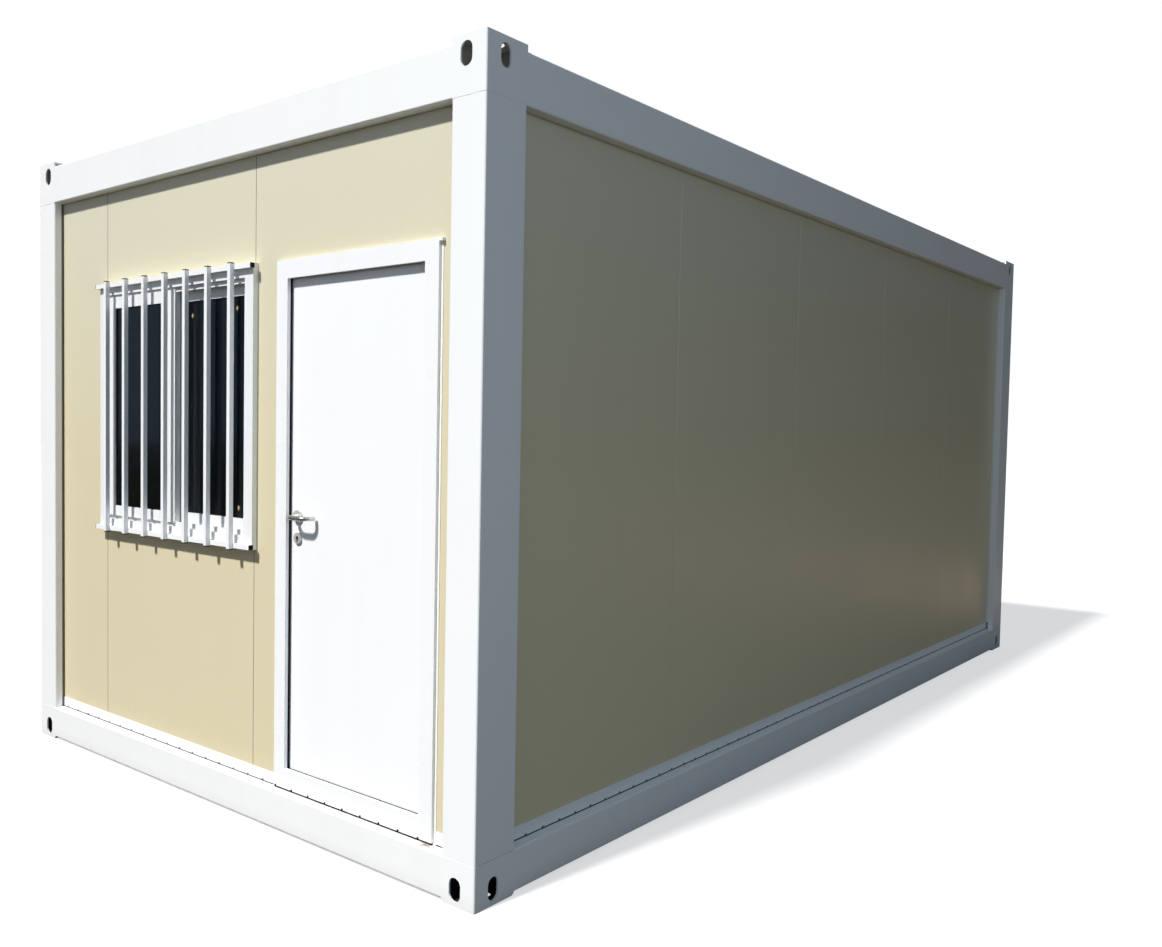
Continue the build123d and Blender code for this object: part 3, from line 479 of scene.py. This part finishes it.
def lofted(name, stacks, turn, places=((0, 0, 0),)):
    """Closed bodies through stacks of (outline, height), turned and set down at each place in metres."""
    shape = bmesh.new()
    for place in places:
        for stack in stacks:
            rings = []
            for points, height in stack:
                corners = [turn @ (Vector((x, y, height)) / 1000) + Vector(place) for x, y in points]
                rings.append([shape.verts.new(corner) for corner in corners])
            for low, high in zip(rings, rings[1:]):
                for i in range(len(low)):
                    shape.faces.new((low[i - 1], low[i], high[i], high[i - 1]))
            shape.faces.new(reversed(rings[0]))
            shape.faces.new(rings[-1])
    bmesh.ops.recalc_face_normals(shape, faces=shape.faces)
    mesh = bpy.data.meshes.new(name)
    shape.to_mesh(mesh)
    shape.free()
    piece = bpy.data.objects.new(name, mesh)
    scene.collection.objects.link(piece)
    return piece


facing_up = Matrix.Identity(3)
facing_down = Matrix.Rotation(math.pi, 3, "X")
facing_right = Matrix.Rotation(math.pi / 2, 3, "Y")
facing_left = Matrix.Rotation(-math.pi / 2, 3, "Y")
facing_front = Matrix.Rotation(math.pi / 2, 3, "X")
facing_back = Matrix.Rotation(-math.pi / 2, 3, "X")
print("points of a square outline:", len(outline([1.0] * 4)))

# %% Fit a piece to its body
def fit(piece, body, finish=None):
    """Give a piece its finish, if one is given, and let it ride its body."""
    if finish:
        piece.data.materials.append(finish)
    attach(piece, body)
    print(piece.name, len(piece.data.polygons), "faces on", body)


# The small pieces take their places from the corners of the CAD parts that carry them.
post_low, post_high = map(Vector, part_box("corner_post_front_right"))
track_low, track_high = map(Vector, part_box("wall_base_tracks"))
window_low, window_high = map(Vector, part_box("window_frame"))
leaf_low, leaf_high = map(Vector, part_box("door_leaf"))
latch_jamb_low, latch_jamb_high = map(Vector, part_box("door_jamb_latch"))
hinge_jamb_low, hinge_jamb_high = map(Vector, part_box("door_jamb_hinge"))
print("front of the posts:", round(post_low.y, 4), "front of the door:", round(leaf_low.y, 4))

# %% [markdown]
# ## Two growing rules
# Screws and caps come in rows, and gaskets and sealant follow the edge of an opening. Both are rules
# rather than shapes, which is what Geometry Nodes are for: one tree copies a fitting along a row and
# repeats that row, the other draws a round bead along a rectangle with eased corners. Each result is
# turned into a plain mesh, so nothing is left to recompute later.

# %% Tree for rows
def new_tree(name, sockets):
    """An empty geometry tree with these inputs and one geometry output."""
    tree = bpy.data.node_groups.new(name, "GeometryNodeTree")
    for label, kind in sockets.items():
        tree.interface.new_socket(label, in_out="INPUT", socket_type="NodeSocket" + kind)
    tree.interface.new_socket("Geometry", in_out="OUTPUT", socket_type="NodeSocketGeometry")
    return tree, add_node(tree, "NodeGroupInput").outputs


def end_tree(tree, geometry, finish):
    """Make the copies real, give them their finish and hand them out of the tree."""
    joined = add_node(tree, "GeometryNodeRealizeInstances", {0: geometry})
    finished = add_node(tree, "GeometryNodeSetMaterial", {"Geometry": joined.outputs[0], "Material": finish})
    add_node(tree, "NodeGroupOutput", {"Geometry": finished.outputs[0]})


row_tree, given = new_tree(
    "rows_of_fittings",
    {
        "Fitting": "Object",
        "First place": "Vector",
        "Step": "Vector",
        "Count": "Int",
        "Row step": "Vector",
        "Row count": "Int",
        "Finish": "Material",
    },
)
starts = add_node(
    row_tree,
    "GeometryNodeMeshLine",
    {"Count": given["Count"], "Start Location": given["First place"], "Offset": given["Step"]},
)
row = add_node(row_tree, "GeometryNodeMeshLine", {"Count": given["Row count"], "Offset": given["Row step"]})
grid = add_node(
    row_tree, "GeometryNodeInstanceOnPoints", {"Points": starts.outputs[0], "Instance": row.outputs[0]}
)
spots = add_node(row_tree, "GeometryNodeRealizeInstances", {0: grid.outputs[0]})
model = add_node(row_tree, "GeometryNodeObjectInfo", {"Object": given["Fitting"]})
copies = add_node(
    row_tree,
    "GeometryNodeInstanceOnPoints",
    {"Points": spots.outputs[0], "Instance": model.outputs["Geometry"]},
)
end_tree(row_tree, copies.outputs[0], given["Finish"])
print("tree:", row_tree.name, len(row_tree.nodes), "nodes")

# %% Tree for beads
bead_tree, given = new_tree(
    "bead_round_opening",
    {
        "Centre": "Vector",
        "Width": "Float",
        "Height": "Float",
        "Corner radius": "Float",
        "Bead radius": "Float",
        "Finish": "Material",
    },
)
opening = add_node(
    bead_tree,
    "GeometryNodeCurvePrimitiveQuadrilateral",
    {"Width": given["Width"], "Height": given["Height"]},
)
eased = add_node(
    bead_tree,
    "GeometryNodeFilletCurve",
    {"Curve": opening.outputs[0], "Radius": given["Corner radius"], "Count": 4},
    mode="POLY",
)
standing = add_node(
    bead_tree,
    "GeometryNodeTransform",
    {"Geometry": eased.outputs[0], "Translation": given["Centre"], "Rotation": (math.pi / 2, 0, 0)},
)
section = add_node(
    bead_tree, "GeometryNodeCurvePrimitiveCircle", {"Resolution": 10, "Radius": given["Bead radius"]}
)
bead = add_node(
    bead_tree, "GeometryNodeCurveToMesh", {"Curve": standing.outputs[0], "Profile Curve": section.outputs[0]}
)
end_tree(bead_tree, bead.outputs[0], given["Finish"])
print("tree:", bead_tree.name, len(bead_tree.nodes), "nodes")

# %% Grow a tree into a plain mesh
def grow(name, tree, inputs):
    """Run a tree once with named inputs and keep the result as one plain mesh."""
    holder = bpy.data.objects.new(name + "_holder", bpy.data.meshes.new(name + "_holder"))
    scene.collection.objects.link(holder)
    growth = holder.modifiers.new("growth", "NODES")
    growth.node_group = tree
    for socket in tree.interface.items_tree:
        if socket.in_out == "INPUT":
            growth[socket.identifier] = inputs[socket.name]
    ready = holder.evaluated_get(bpy.context.evaluated_depsgraph_get())
    mesh = bpy.data.meshes.new_from_object(ready)
    bpy.data.objects.remove(holder)
    skin = bmesh.new()
    skin.from_mesh(mesh)
    bmesh.ops.recalc_face_normals(skin, faces=skin.faces)
    skin.to_mesh(mesh)
    skin.free()
    mesh.name = name
    piece = bpy.data.objects.new(name, mesh)
    scene.collection.objects.link(piece)
    return piece


def grow_rows(name, fitting, finish, first, step, count, row_step=(0, 0, 0), row_count=1):
    """Rows of one fitting; the fitting itself is only a pattern and is taken away afterwards."""
    inputs = {"Fitting": fitting, "First place": first, "Step": step, "Count": count}
    inputs |= {"Row step": row_step, "Row count": row_count, "Finish": finish}
    piece = grow(name, row_tree, inputs)
    bpy.data.objects.remove(fitting)
    return piece


def grow_bead(name, low, high, y, radius, finish):
    """A bead whose middle runs along an upright rectangle between two (x, z) corners, in metres."""
    centre = ((low[0] + high[0]) / 2, y, (low[1] + high[1]) / 2)
    inputs = {"Centre": centre, "Width": high[0] - low[0], "Height": high[1] - low[1]}
    inputs |= {"Corner radius": 2 * radius, "Bead radius": radius, "Finish": finish}
    return grow(name, bead_tree, inputs)


print("ready to grow:", row_tree.name, bead_tree.name)

# %% [markdown]
# ## Caps on the window bars
# The bars and rails are square tube, and each open end is closed with a pressed-in cap: dark grey
# ones on the upright bars, black ones on the rails. A cap is a square with a low bevelled crown. Seven
# bars stand 161.5 mm apart, so the row tree sets the caps at that pitch.

# %% A cap and its plastic
cap_plastic, tree, shader, place = start_finish(
    "moulded_cap_plastic", {"IOR": 1.5, "Specular IOR Level": 0.3}
)
sparks = add_node(tree, "ShaderNodeTexNoise", {"Vector": place, "Scale": per_metre(5), "Detail": 3.0})
shade_by(sparks.outputs[0], tree, shader, ("#1A1A1B", "#39393B"), (0.4, 0.6), 0.2)


def tube_cap(turn):
    """A cap for a 20 mm square tube: a short collar with a bevelled crown."""
    full = outline([10 * math.sqrt(2)] * 4, math.pi / 4)
    crown = outline([8 * math.sqrt(2)] * 4, math.pi / 4)
    return lofted("cap", [[(full, 0), (full, 3.5), (crown, 5)]], turn)


print("cap finish:", cap_plastic.name)

# %% Bar caps and rail caps
bars_low, bars_high = map(Vector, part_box("window_security_bars"))
tube = 0.020
bar_pitch, bar_count = 0.1615, 7
bar_y, rail_y = bars_low.y + tube / 2, bars_high.y - tube / 2
first_bar = (bars_low.x + bars_high.x) / 2 - bar_pitch * (bar_count - 1) / 2
for name, turn, end_z in (
    ("bar_caps_top", facing_up, bars_high.z),
    ("bar_caps_bottom", facing_down, bars_low.z),
):
    first = (first_bar, bar_y, end_z)
    bar_caps = grow_rows(name, tube_cap(turn), cap_plastic, first, (bar_pitch, 0, 0), bar_count)
    fit(bar_caps, "cabin")

rail_inset = 0.012
low_rail = window_low.z + rail_inset
rail_pitch = window_high.z - window_low.z - 2 * rail_inset
for name, turn, end_x in (
    ("rail_caps_right", facing_right, bars_high.x),
    ("rail_caps_left", facing_left, bars_low.x),
):
    first = (end_x, rail_y, low_rail)
    rail_caps = grow_rows(name, tube_cap(turn), seal_rubber, first, (0, 0, rail_pitch), 2)
    fit(rail_caps, "cabin")

# %% [markdown]
# ## Gaskets and sealant
# Glass never touches its sash: a rubber gasket runs round each pane and shows as a thin dark line. A
# thicker one lies in the gap between the door frame's stop and the leaf, and is the black line beside
# the door. Where the window and door frames meet the panels, there is a smoothed bead of sealant. All
# of them are beads along rectangles, so the second tree makes each one.

# %% Gaskets round the panes and the leaf
glass_low, glass_high = map(Vector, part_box("window_glass"))
left_sash_low, left_sash_high = map(Vector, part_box("window_sash_left"))
right_sash_low = Vector(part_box("window_sash_right")[0])
left_pane_front = glass_low.y
right_pane_front = glass_low.y + right_sash_low.y - left_sash_low.y
pane_gasket_radius, gasket_inset, meeting_stile = 0.0016, 0.0092, 0.0635
gasket_bottom, gasket_top = glass_low.z + gasket_inset, glass_high.z - gasket_inset
for name, left_edge, right_edge, pane_front in (
    ("pane_gasket_left", glass_low.x + gasket_inset, left_sash_high.x - meeting_stile, left_pane_front),
    ("pane_gasket_right", right_sash_low.x + meeting_stile, glass_high.x - gasket_inset, right_pane_front),
):
    low, high = (left_edge, gasket_bottom), (right_edge, gasket_top)
    gasket_y = pane_front - pane_gasket_radius
    gasket = grow_bead(name, low, high, gasket_y, pane_gasket_radius, seal_rubber)
    fit(gasket, "cabin")

sill_low, sill_high = map(Vector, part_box("door_sill"))
head_low, head_high = map(Vector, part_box("door_head"))
behind_stop, before_leaf, leaf_gasket_radius = 0.0070, 0.0072, 0.0066
door_gasket = grow_bead(
    "door_gasket",
    (latch_jamb_high.x - behind_stop, sill_high.z - behind_stop),
    (hinge_jamb_low.x + behind_stop, head_low.z + behind_stop),
    leaf_low.y - before_leaf,
    leaf_gasket_radius,
    seal_rubber,
)
fit(door_gasket, "cabin")

# %% Sealant round the frames
sealant, tree, shader, place = start_finish("smoothed_sealant", {"IOR": 1.42, "Specular IOR Level": 0.3})
waver = add_node(tree, "ShaderNodeTexNoise", {"Vector": place, "Scale": per_metre(25), "Detail": 3.0})
shade_by(waver.outputs[0], tree, shader, ("#D6CEB0", "#C6BEA2"), (0.35, 0.5), 0.8)

left_panel_low, left_panel_high = map(Vector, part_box("front_panel_left"))
panel_face = left_panel_low.y
sealant_radius, sealant_inset, sealant_start = 0.0035, 0.010, 0.040
window_bead = grow_bead(
    "window_sealant",
    (window_low.x, window_low.z),
    (window_high.x, window_high.z),
    panel_face,
    sealant_radius,
    sealant,
)
fit(window_bead, "cabin")
door_bead = grow_bead(
    "door_sealant",
    (latch_jamb_low.x + sealant_inset, sill_low.z + sealant_start),
    (hinge_jamb_high.x - sealant_inset, head_high.z - sealant_inset),
    panel_face,
    sealant_radius,
    sealant,
)
fit(door_bead, "cabin")

# %% [markdown]
# ## Painted shade in the joints
# The two joints between the front panels are straight: grey rods of painted shade lie in them, above
# and below the window, and the row tree sets them out. A thin black line of painted shade runs along
# the foot of the tracks, and in the joints between foot fittings and posts on the long sides. A dark line
# could be painted on, but a thin rod in the joint also catches light and shade as the real line does.

# %% Joint shade rods
# Grey rods stand in as painted shade in the straight joints between the front panels.
joint_painted_shade = rubber("grey_joint_painted_shade", "#6E6757", "#8A826F")
next_panel_low = Vector(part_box("front_panel_under_window")[0])
first_joint = (left_panel_high.x + next_panel_low.x) / 2
panel_pitch = (1.15, 0, 0)
shade_rod_y = panel_face + 0.0014
rod, tip = outline([2.2] * 8), outline([1.2] * 8)
# The rods stop a few millimetres short of the track, the window and the roof beam.
for name, bottom, top in (
    ("joint_filler_low", track_high.z + 0.003, window_low.z - 0.005),
    ("joint_filler_high", window_high.z + 0.004, post_high.z - 0.005),
):
    length = 1000 * (top - bottom)
    shade_rod_pattern = lofted("rod", [[(tip, 0), (rod, 2), (rod, length - 2), (tip, length)]], facing_up)
    shade_rods = grow_rows(name, shade_rod_pattern, joint_painted_shade, (first_joint, shade_rod_y, bottom), panel_pitch, 2)
    fit(shade_rods, "cabin")

# %% Painted shade lines along the tracks and in the foot joints
def shade_line_run(start, stop):
    """One closed run of painted shade line between two places on an axis in metres, eased at both ends."""
    full, end = outline([1.7] * 8, math.pi / 8), outline([0.6] * 8, math.pi / 8)
    start, stop = 1000 * start, 1000 * stop
    return [(end, start), (full, start + 3), (full, stop - 3), (end, stop)]


# Black rods of painted shade lie in the gap at the foot of the tracks and in the foot joints.
beam_top = post_low.z
shade_line_z = beam_top + 0.0014
in_track, off_post, under_sill = 0.0005, 0.002, 0.008
front_end = post_low.x - off_post
front_runs = [
    shade_line_run(-front_end, latch_jamb_low.x + under_sill),
    shade_line_run(hinge_jamb_high.x - under_sill, front_end),
]
front_shade_line = lofted("track_dust_front", front_runs, facing_right, [(0, track_low.y + in_track, shade_line_z)])
fit(front_shade_line, "cabin", seal_rubber)

side_x, side_end = track_high.x - in_track, -post_high.y - off_post
side_places = [(-side_x, 0, shade_line_z), (side_x, 0, shade_line_z)]
side_shade_lines = lofted("track_dust_sides", [shade_line_run(-side_end, side_end)], facing_back, side_places)
fit(side_shade_lines, "cabin", seal_rubber)

joint_depth, outer_gap, inner_gap = 0.0017, 0.010, 0.003
joint_x = post_high.x - joint_depth
joint_outer, joint_inner = -post_low.y - outer_gap, -post_high.y + inner_gap
joint_runs = [shade_line_run(-joint_outer, -joint_inner), shade_line_run(joint_inner, joint_outer)]
joint_places = [(-joint_x, 0, beam_top), (joint_x, 0, beam_top)]
foot_joint_shade_lines = lofted("foot_joint_dust", joint_runs, facing_back, joint_places)
fit(foot_joint_shade_lines, "cabin", seal_rubber)

# %% [markdown]
# ## Key cylinder, hinge screws and roof screws
# The lock is a profile cylinder: a round barrel over a narrow stem, with a plug in it for the key. One
# end shows on each face of the door. The hinges are held by countersunk cross-head screws, the roof
# sheet by hexagon screws on washers that sit midway between the ribs. Screws on the leaf's half of a
# hinge swing with the door, so they are a piece of their own.

# %% Both ends of the lock
def keyhole(inset):
    """The round-over-stem outline of the lock, this much smaller than the hole in its plate."""
    barrel, stem, foot = 8.5 - inset, 5.0 - inset, 24.5 - inset
    neck = math.asin(stem / barrel)
    turns = [-math.pi / 2 + neck + i * (2 * math.pi - 2 * neck) / 18 for i in range(19)]
    return [(barrel * math.cos(t), barrel * math.sin(t)) for t in turns] + [(-stem, -foot), (stem, -foot)]


case = [(keyhole(0.3), 0), (keyhole(0.3), 3.2), (keyhole(0.9), 3.8)]
plug = [(outline([6.0] * 16), 3.0), (outline([6.0] * 16), 4.2), (outline([5.5] * 16), 4.6)]
key_slit = [(outline([3.6, 0.8] * 2), 4.0), (outline([3.6, 0.8] * 2), 4.9)]
lock = [case, plug, key_slit]
# Turned to the back, the outline would stand on its head, so it is flipped first.
flipped_lock = [[([(x, -y) for x, y in ring], height) for ring, height in stack] for stack in lock]

joint_axes = {joint["name"]: Vector(joint["pos_m"]) for joint in frame["joints"]}
lever_axis, lock_drop = joint_axes["lever_turn"], 0.085
lock_x, lock_z = lever_axis.x, lever_axis.z - lock_drop
outside = lofted("key_cylinder_outside", lock, facing_front, [(lock_x, leaf_low.y, lock_z)])
fit(outside, "door", lock_steel_painted_dark)
inside = lofted("key_cylinder_inside", flipped_lock, facing_back, [(lock_x, leaf_high.y, lock_z)])
fit(inside, "door", lock_steel_painted_dark)

# %% Hinge screws
def hinge_screw():
    """A countersunk head standing 0.7 mm proud, with a cross recess sunk into it."""
    head = [([4.4] * 12, 0), ([4.2] * 12, 0.5), ([3.4] * 12, 0.7), ([2.4, 0.7, 0.7] * 4, 0.7)]
    stack = [(outline(radii), height) for radii, height in head]
    return lofted("screw", [stack + [(outline([2.0, 0.5, 0.5] * 4), -0.6)]], facing_back)


leaf_half_low, leaf_half_high = map(Vector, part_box("hinge_leaf_halves"))
frame_half_high = Vector(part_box("hinge_frame_halves")[1])
hinge_height, hinge_thickness = 0.100, 0.0025
hinge_pitch = (0, 0, (leaf_half_high.z - leaf_half_low.z - hinge_height) / 2)
screw_pitch, screw_inset, screw_rise = (0, 0, 0.032), 0.0115, 0.018
for name, screw_x, rider in (
    ("hinge_screws_leaf", leaf_half_low.x + screw_inset, "door"),
    ("hinge_screws_frame", frame_half_high.x - screw_inset, "cabin"),
):
    first = (screw_x, leaf_high.y + hinge_thickness, leaf_half_low.z + screw_rise)
    screws = grow_rows(name, hinge_screw(), hinge_steel, first, hinge_pitch, 3, screw_pitch, 3)
    fit(screws, rider)

# %% Roof screws
def roof_screw():
    """A hexagon head on a dished washer."""
    washer = [(outline([8.5] * 12), 0), (outline([8.5] * 12), 1.0), (outline([7.0] * 12), 2.2)]
    head = [(outline([5.8, 5.0] * 6), 2.0), (outline([5.8, 5.0] * 6), 6.4), (outline([4.6] * 12), 7.0)]
    return lofted("screw", [washer, head], facing_up)


roof_low, roof_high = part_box("roof_sheet")
sheet_thickness, edge_inset = 0.003, 0.011
sheet_top = roof_low[2] + sheet_thickness
wide = roof_high[0] - roof_low[0] - 2 * edge_inset
long = roof_high[1] - roof_low[1] - 2 * edge_inset
rib_bays = 12
rib_pitch, side_count = (roof_high[1] - roof_low[1]) / rib_bays, rib_bays - 1
first_side = (roof_low[0] + edge_inset, -rib_pitch * (side_count - 1) / 2, sheet_top)
side_screws = grow_rows(
    "roof_screws_sides", roof_screw(), hinge_steel, first_side, (0, rib_pitch, 0), side_count, (wide, 0, 0), 2
)
fit(side_screws, "cabin")
end_pitch, end_count = 0.4, 6
first_end = (-end_pitch * (end_count - 1) / 2, roof_low[1] + edge_inset, sheet_top)
end_screws = grow_rows(
    "roof_screws_ends", roof_screw(), hinge_steel, first_end, (end_pitch, 0, 0), end_count, (0, long, 0), 2
)
fit(end_screws, "cabin")

# %% [markdown]
# ## Cork pads on the glass
# Panes are shipped with little cork pads between them, and three were left on the right one. They are
# thin diamonds with a broken edge. The cork itself is pressed crumbs, so its finish is a cell pattern
# in which each crumb has a shade of its own.

# %% Three pads
cork, tree, shader, place = start_finish(
    "pressed_cork", {"IOR": 1.4, "Specular IOR Level": 0.2, "Roughness": 0.85}
)
crumbs = add_node(tree, "ShaderNodeTexVoronoi", {"Vector": place, "Scale": per_metre(3)})
pick = add_node(tree, "ShaderNodeSeparateColor", {0: crumbs.outputs["Color"]})
crumb_tones = {0: pick.outputs[0], 6: linear("#8A6A45"), 7: linear("#CBB08A")}
tone = add_node(tree, "ShaderNodeMix", crumb_tones, data_type="RGBA")
pits = add_node(tree, "ShaderNodeBump", {"Height": crumbs.outputs["Distance"], "Distance": 0.0006})
tree.links.new(tone.outputs[2], shader.inputs["Base Color"])
tree.links.new(pits.outputs[0], shader.inputs["Normal"])

diamond, broken = outline([7.5, 12.0] * 2), outline([6.5, 10.8] * 2)
pad_spots = ((-0.2525, 2.0812), (0.0723, 2.0939), (0.0885, 1.2614))
pad_places = [(x, right_pane_front, z) for x, z in pad_spots]
pads = lofted("cork_pads", [[(diamond, 0), (diamond, 2.2), (broken, 3.0)]], facing_front, pad_places)
fit(pads, "cabin", cork)

# %% [markdown]
# ## Sun and softboxes
# The photo was taken in sun that stands almost straight in front of the door end and rather high, so
# that end is bright, each bar and frame throws a short shadow downward, and the long side is in open
# shade. One soft sun lamp does that. The near end of the long side is lighter than its far end, so a
# large softbox stands at the right, close to the near end. A second one lifts the two sides that the
# photo does not show.

# %% Sun
sun_height, sun_aside = math.radians(50.5), math.radians(-7)
sun = bpy.data.lights.new("soft_sun", "SUN")
sun.energy = 4.4
sun.angle = math.radians(4)
sun.color = (1.0, 0.984, 0.97)
sun_lamp = bpy.data.objects.new("soft_sun", sun)
level_way = math.cos(sun_height)
sun_way = Vector((-level_way * math.sin(sun_aside), level_way * math.cos(sun_aside), -math.sin(sun_height)))
sun_lamp.rotation_euler = sun_way.to_track_quat("-Z", "Y").to_euler()
scene.collection.objects.link(sun_lamp)
print("sun from", [round(c, 2) for c in -sun_way])

# %% Softboxes
def softbox(name, watts, tint, place, aim):
    """A 3 m square lamp that shines from a place towards an aim, and is not itself seen."""
    lamp = bpy.data.lights.new(name, "AREA")
    lamp.size = 3.0
    lamp.energy = watts
    lamp.color = tint
    box = bpy.data.objects.new(name, lamp)
    box.location = place
    box.rotation_euler = (Vector(aim) - Vector(place)).to_track_quat("-Z", "Y").to_euler()
    box.visible_camera = False
    scene.collection.objects.link(box)
    print(name, watts, "W")


softbox("near_softbox", 45, (0.71, 0.90, 1.09), (6.5, -5.0, 3.0), (1.45, -2.2, 1.4))
softbox("rear_softbox", 100, (0.80, 0.90, 1.0), (-6.5, 6.5, 3.5), (-1.0, 1.5, 1.4))

# %% [markdown]
# ## Sky and floor
# A weak sky fills the shade, brighter in front, round the sun, than behind. The sky looks white to the
# camera and through the glass, and the floor looks white to the camera. Both are darker as light
# sources and in reflections, because a white bounce would wash the shaded side out.

# %% Sky
world = bpy.data.worlds.new("studio_sky")
scene.world = world
world.use_nodes = True
tree = world.node_tree
tree.nodes.clear()
rays = add_node(tree, "ShaderNodeLightPath").outputs
seen = add_node(
    tree, "ShaderNodeMath", {0: rays["Is Camera Ray"], 1: rays["Is Transmission Ray"]}, operation="MAXIMUM"
)

# Reflections see a slightly brighter sky, but a darker one low down at the right rear.
right_rear = (0.55, 0.80, -0.40)
way = add_node(tree, "ShaderNodeTexCoord").outputs["Object"]
rear = add_node(tree, "ShaderNodeVectorMath", {0: way, 1: right_rear}, operation="DOT_PRODUCT")
shade = add_node(tree, "ShaderNodeMapRange", {0: rear.outputs["Value"], 1: 0.2, 2: 0.6, 3: 0.1, 4: -0.2})
mirrored = add_node(
    tree, "ShaderNodeMath", {0: shade.outputs[0], 1: rays["Is Glossy Ray"]}, operation="MULTIPLY"
)

facing = add_node(tree, "ShaderNodeSeparateXYZ", {0: way}).outputs["Y"]
glare = add_node(tree, "ShaderNodeMapRange", {0: facing, 1: 0.0, 2: -0.9, 3: 0.17, 4: 0.40})
strength = add_node(tree, "ShaderNodeMath", {0: glare.outputs[0], 1: mirrored.outputs[0]}, operation="ADD")
strength.use_clamp = True
fill = add_node(
    tree, "ShaderNodeBackground", {"Color": (0.68, 0.84, 1.04, 1.0), "Strength": strength.outputs[0]}
)
white = add_node(tree, "ShaderNodeBackground", {"Color": (1.0, 1.0, 1.0, 1.0), "Strength": 1.0})
sky = add_node(tree, "ShaderNodeMixShader", {0: seen.outputs[0], 1: fill.outputs[0], 2: white.outputs[0]})
add_node(tree, "ShaderNodeOutputWorld", {"Surface": sky.outputs[0]})
print("sky:", world.name, len(tree.nodes), "nodes")

# %% Finish of the floor
floor_paint = bpy.data.materials.new("pale_studio_floor")
floor_paint.use_nodes = True
tree = floor_paint.node_tree
tree.nodes.clear()
rays = add_node(tree, "ShaderNodeLightPath").outputs
bounce = add_node(tree, "ShaderNodeBsdfDiffuse", {"Color": (0.078, 0.066, 0.05, 1.0)})

# In reflections a strip beyond the far end is painted bright and warm as if sunlit: a painted reflection that
# gives a soft warm glow low on the long side.
place = add_node(tree, "ShaderNodeTexCoord").outputs["Object"]
beyond = add_node(tree, "ShaderNodeSeparateXYZ", {0: place}).outputs["Y"]
begins = add_node(tree, "ShaderNodeMapRange", {0: beyond, 1: 3.5, 2: 5.5, 3: 0.0, 4: 1.0})
ends = add_node(tree, "ShaderNodeMapRange", {0: beyond, 1: 6.5, 2: 10.0, 3: 1.0, 4: 0.0})
painted_sunlit_mask = add_node(tree, "ShaderNodeMath", {0: begins.outputs[0], 1: ends.outputs[0]}, operation="MULTIPLY")
glow_strip_tones = {0: painted_sunlit_mask.outputs[0], 6: (0.085, 0.08, 0.062, 1.0), 7: (0.38, 0.295, 0.205, 1.0)}
painted_glow_strip = add_node(tree, "ShaderNodeMix", glow_strip_tones, data_type="RGBA")
glow_reflection = add_node(tree, "ShaderNodeBsdfDiffuse", {"Color": painted_glow_strip.outputs[2]})
unseen = add_node(
    tree, "ShaderNodeMixShader", {0: rays["Is Glossy Ray"], 1: bounce.outputs[0], 2: glow_reflection.outputs[0]}
)

# To the camera it is pale paper: the diffuse part keeps the cabin's shadow.
pale = add_node(tree, "ShaderNodeBsdfDiffuse", {"Color": (0.42, 0.42, 0.42, 1.0)})
lift = add_node(tree, "ShaderNodeEmission", {"Color": (1.0, 1.0, 1.0, 1.0), "Strength": 0.60})
paper = add_node(tree, "ShaderNodeAddShader", {0: pale.outputs[0], 1: lift.outputs[0]})
surface = add_node(
    tree, "ShaderNodeMixShader", {0: rays["Is Camera Ray"], 1: unseen.outputs[0], 2: paper.outputs[0]}
)
add_node(tree, "ShaderNodeOutputMaterial", {"Surface": surface.outputs[0]})
print("floor finish:", floor_paint.name, len(tree.nodes), "nodes")

# %% Floor
floor_reach = 60.0
floor_corners = [(x * floor_reach, y * floor_reach, 0) for x, y in ((-1, -1), (1, -1), (1, 1), (-1, 1))]
floor_mesh = bpy.data.meshes.new("studio_floor")
floor_mesh.from_pydata(floor_corners, [], [(0, 1, 2, 3)])
floor_mesh.materials.append(floor_paint)
floor = bpy.data.objects.new("studio_floor", floor_mesh)
scene.collection.objects.link(floor)
scene.view_settings.view_transform = "Standard"
print("floor:", 2 * floor_reach, "m square")
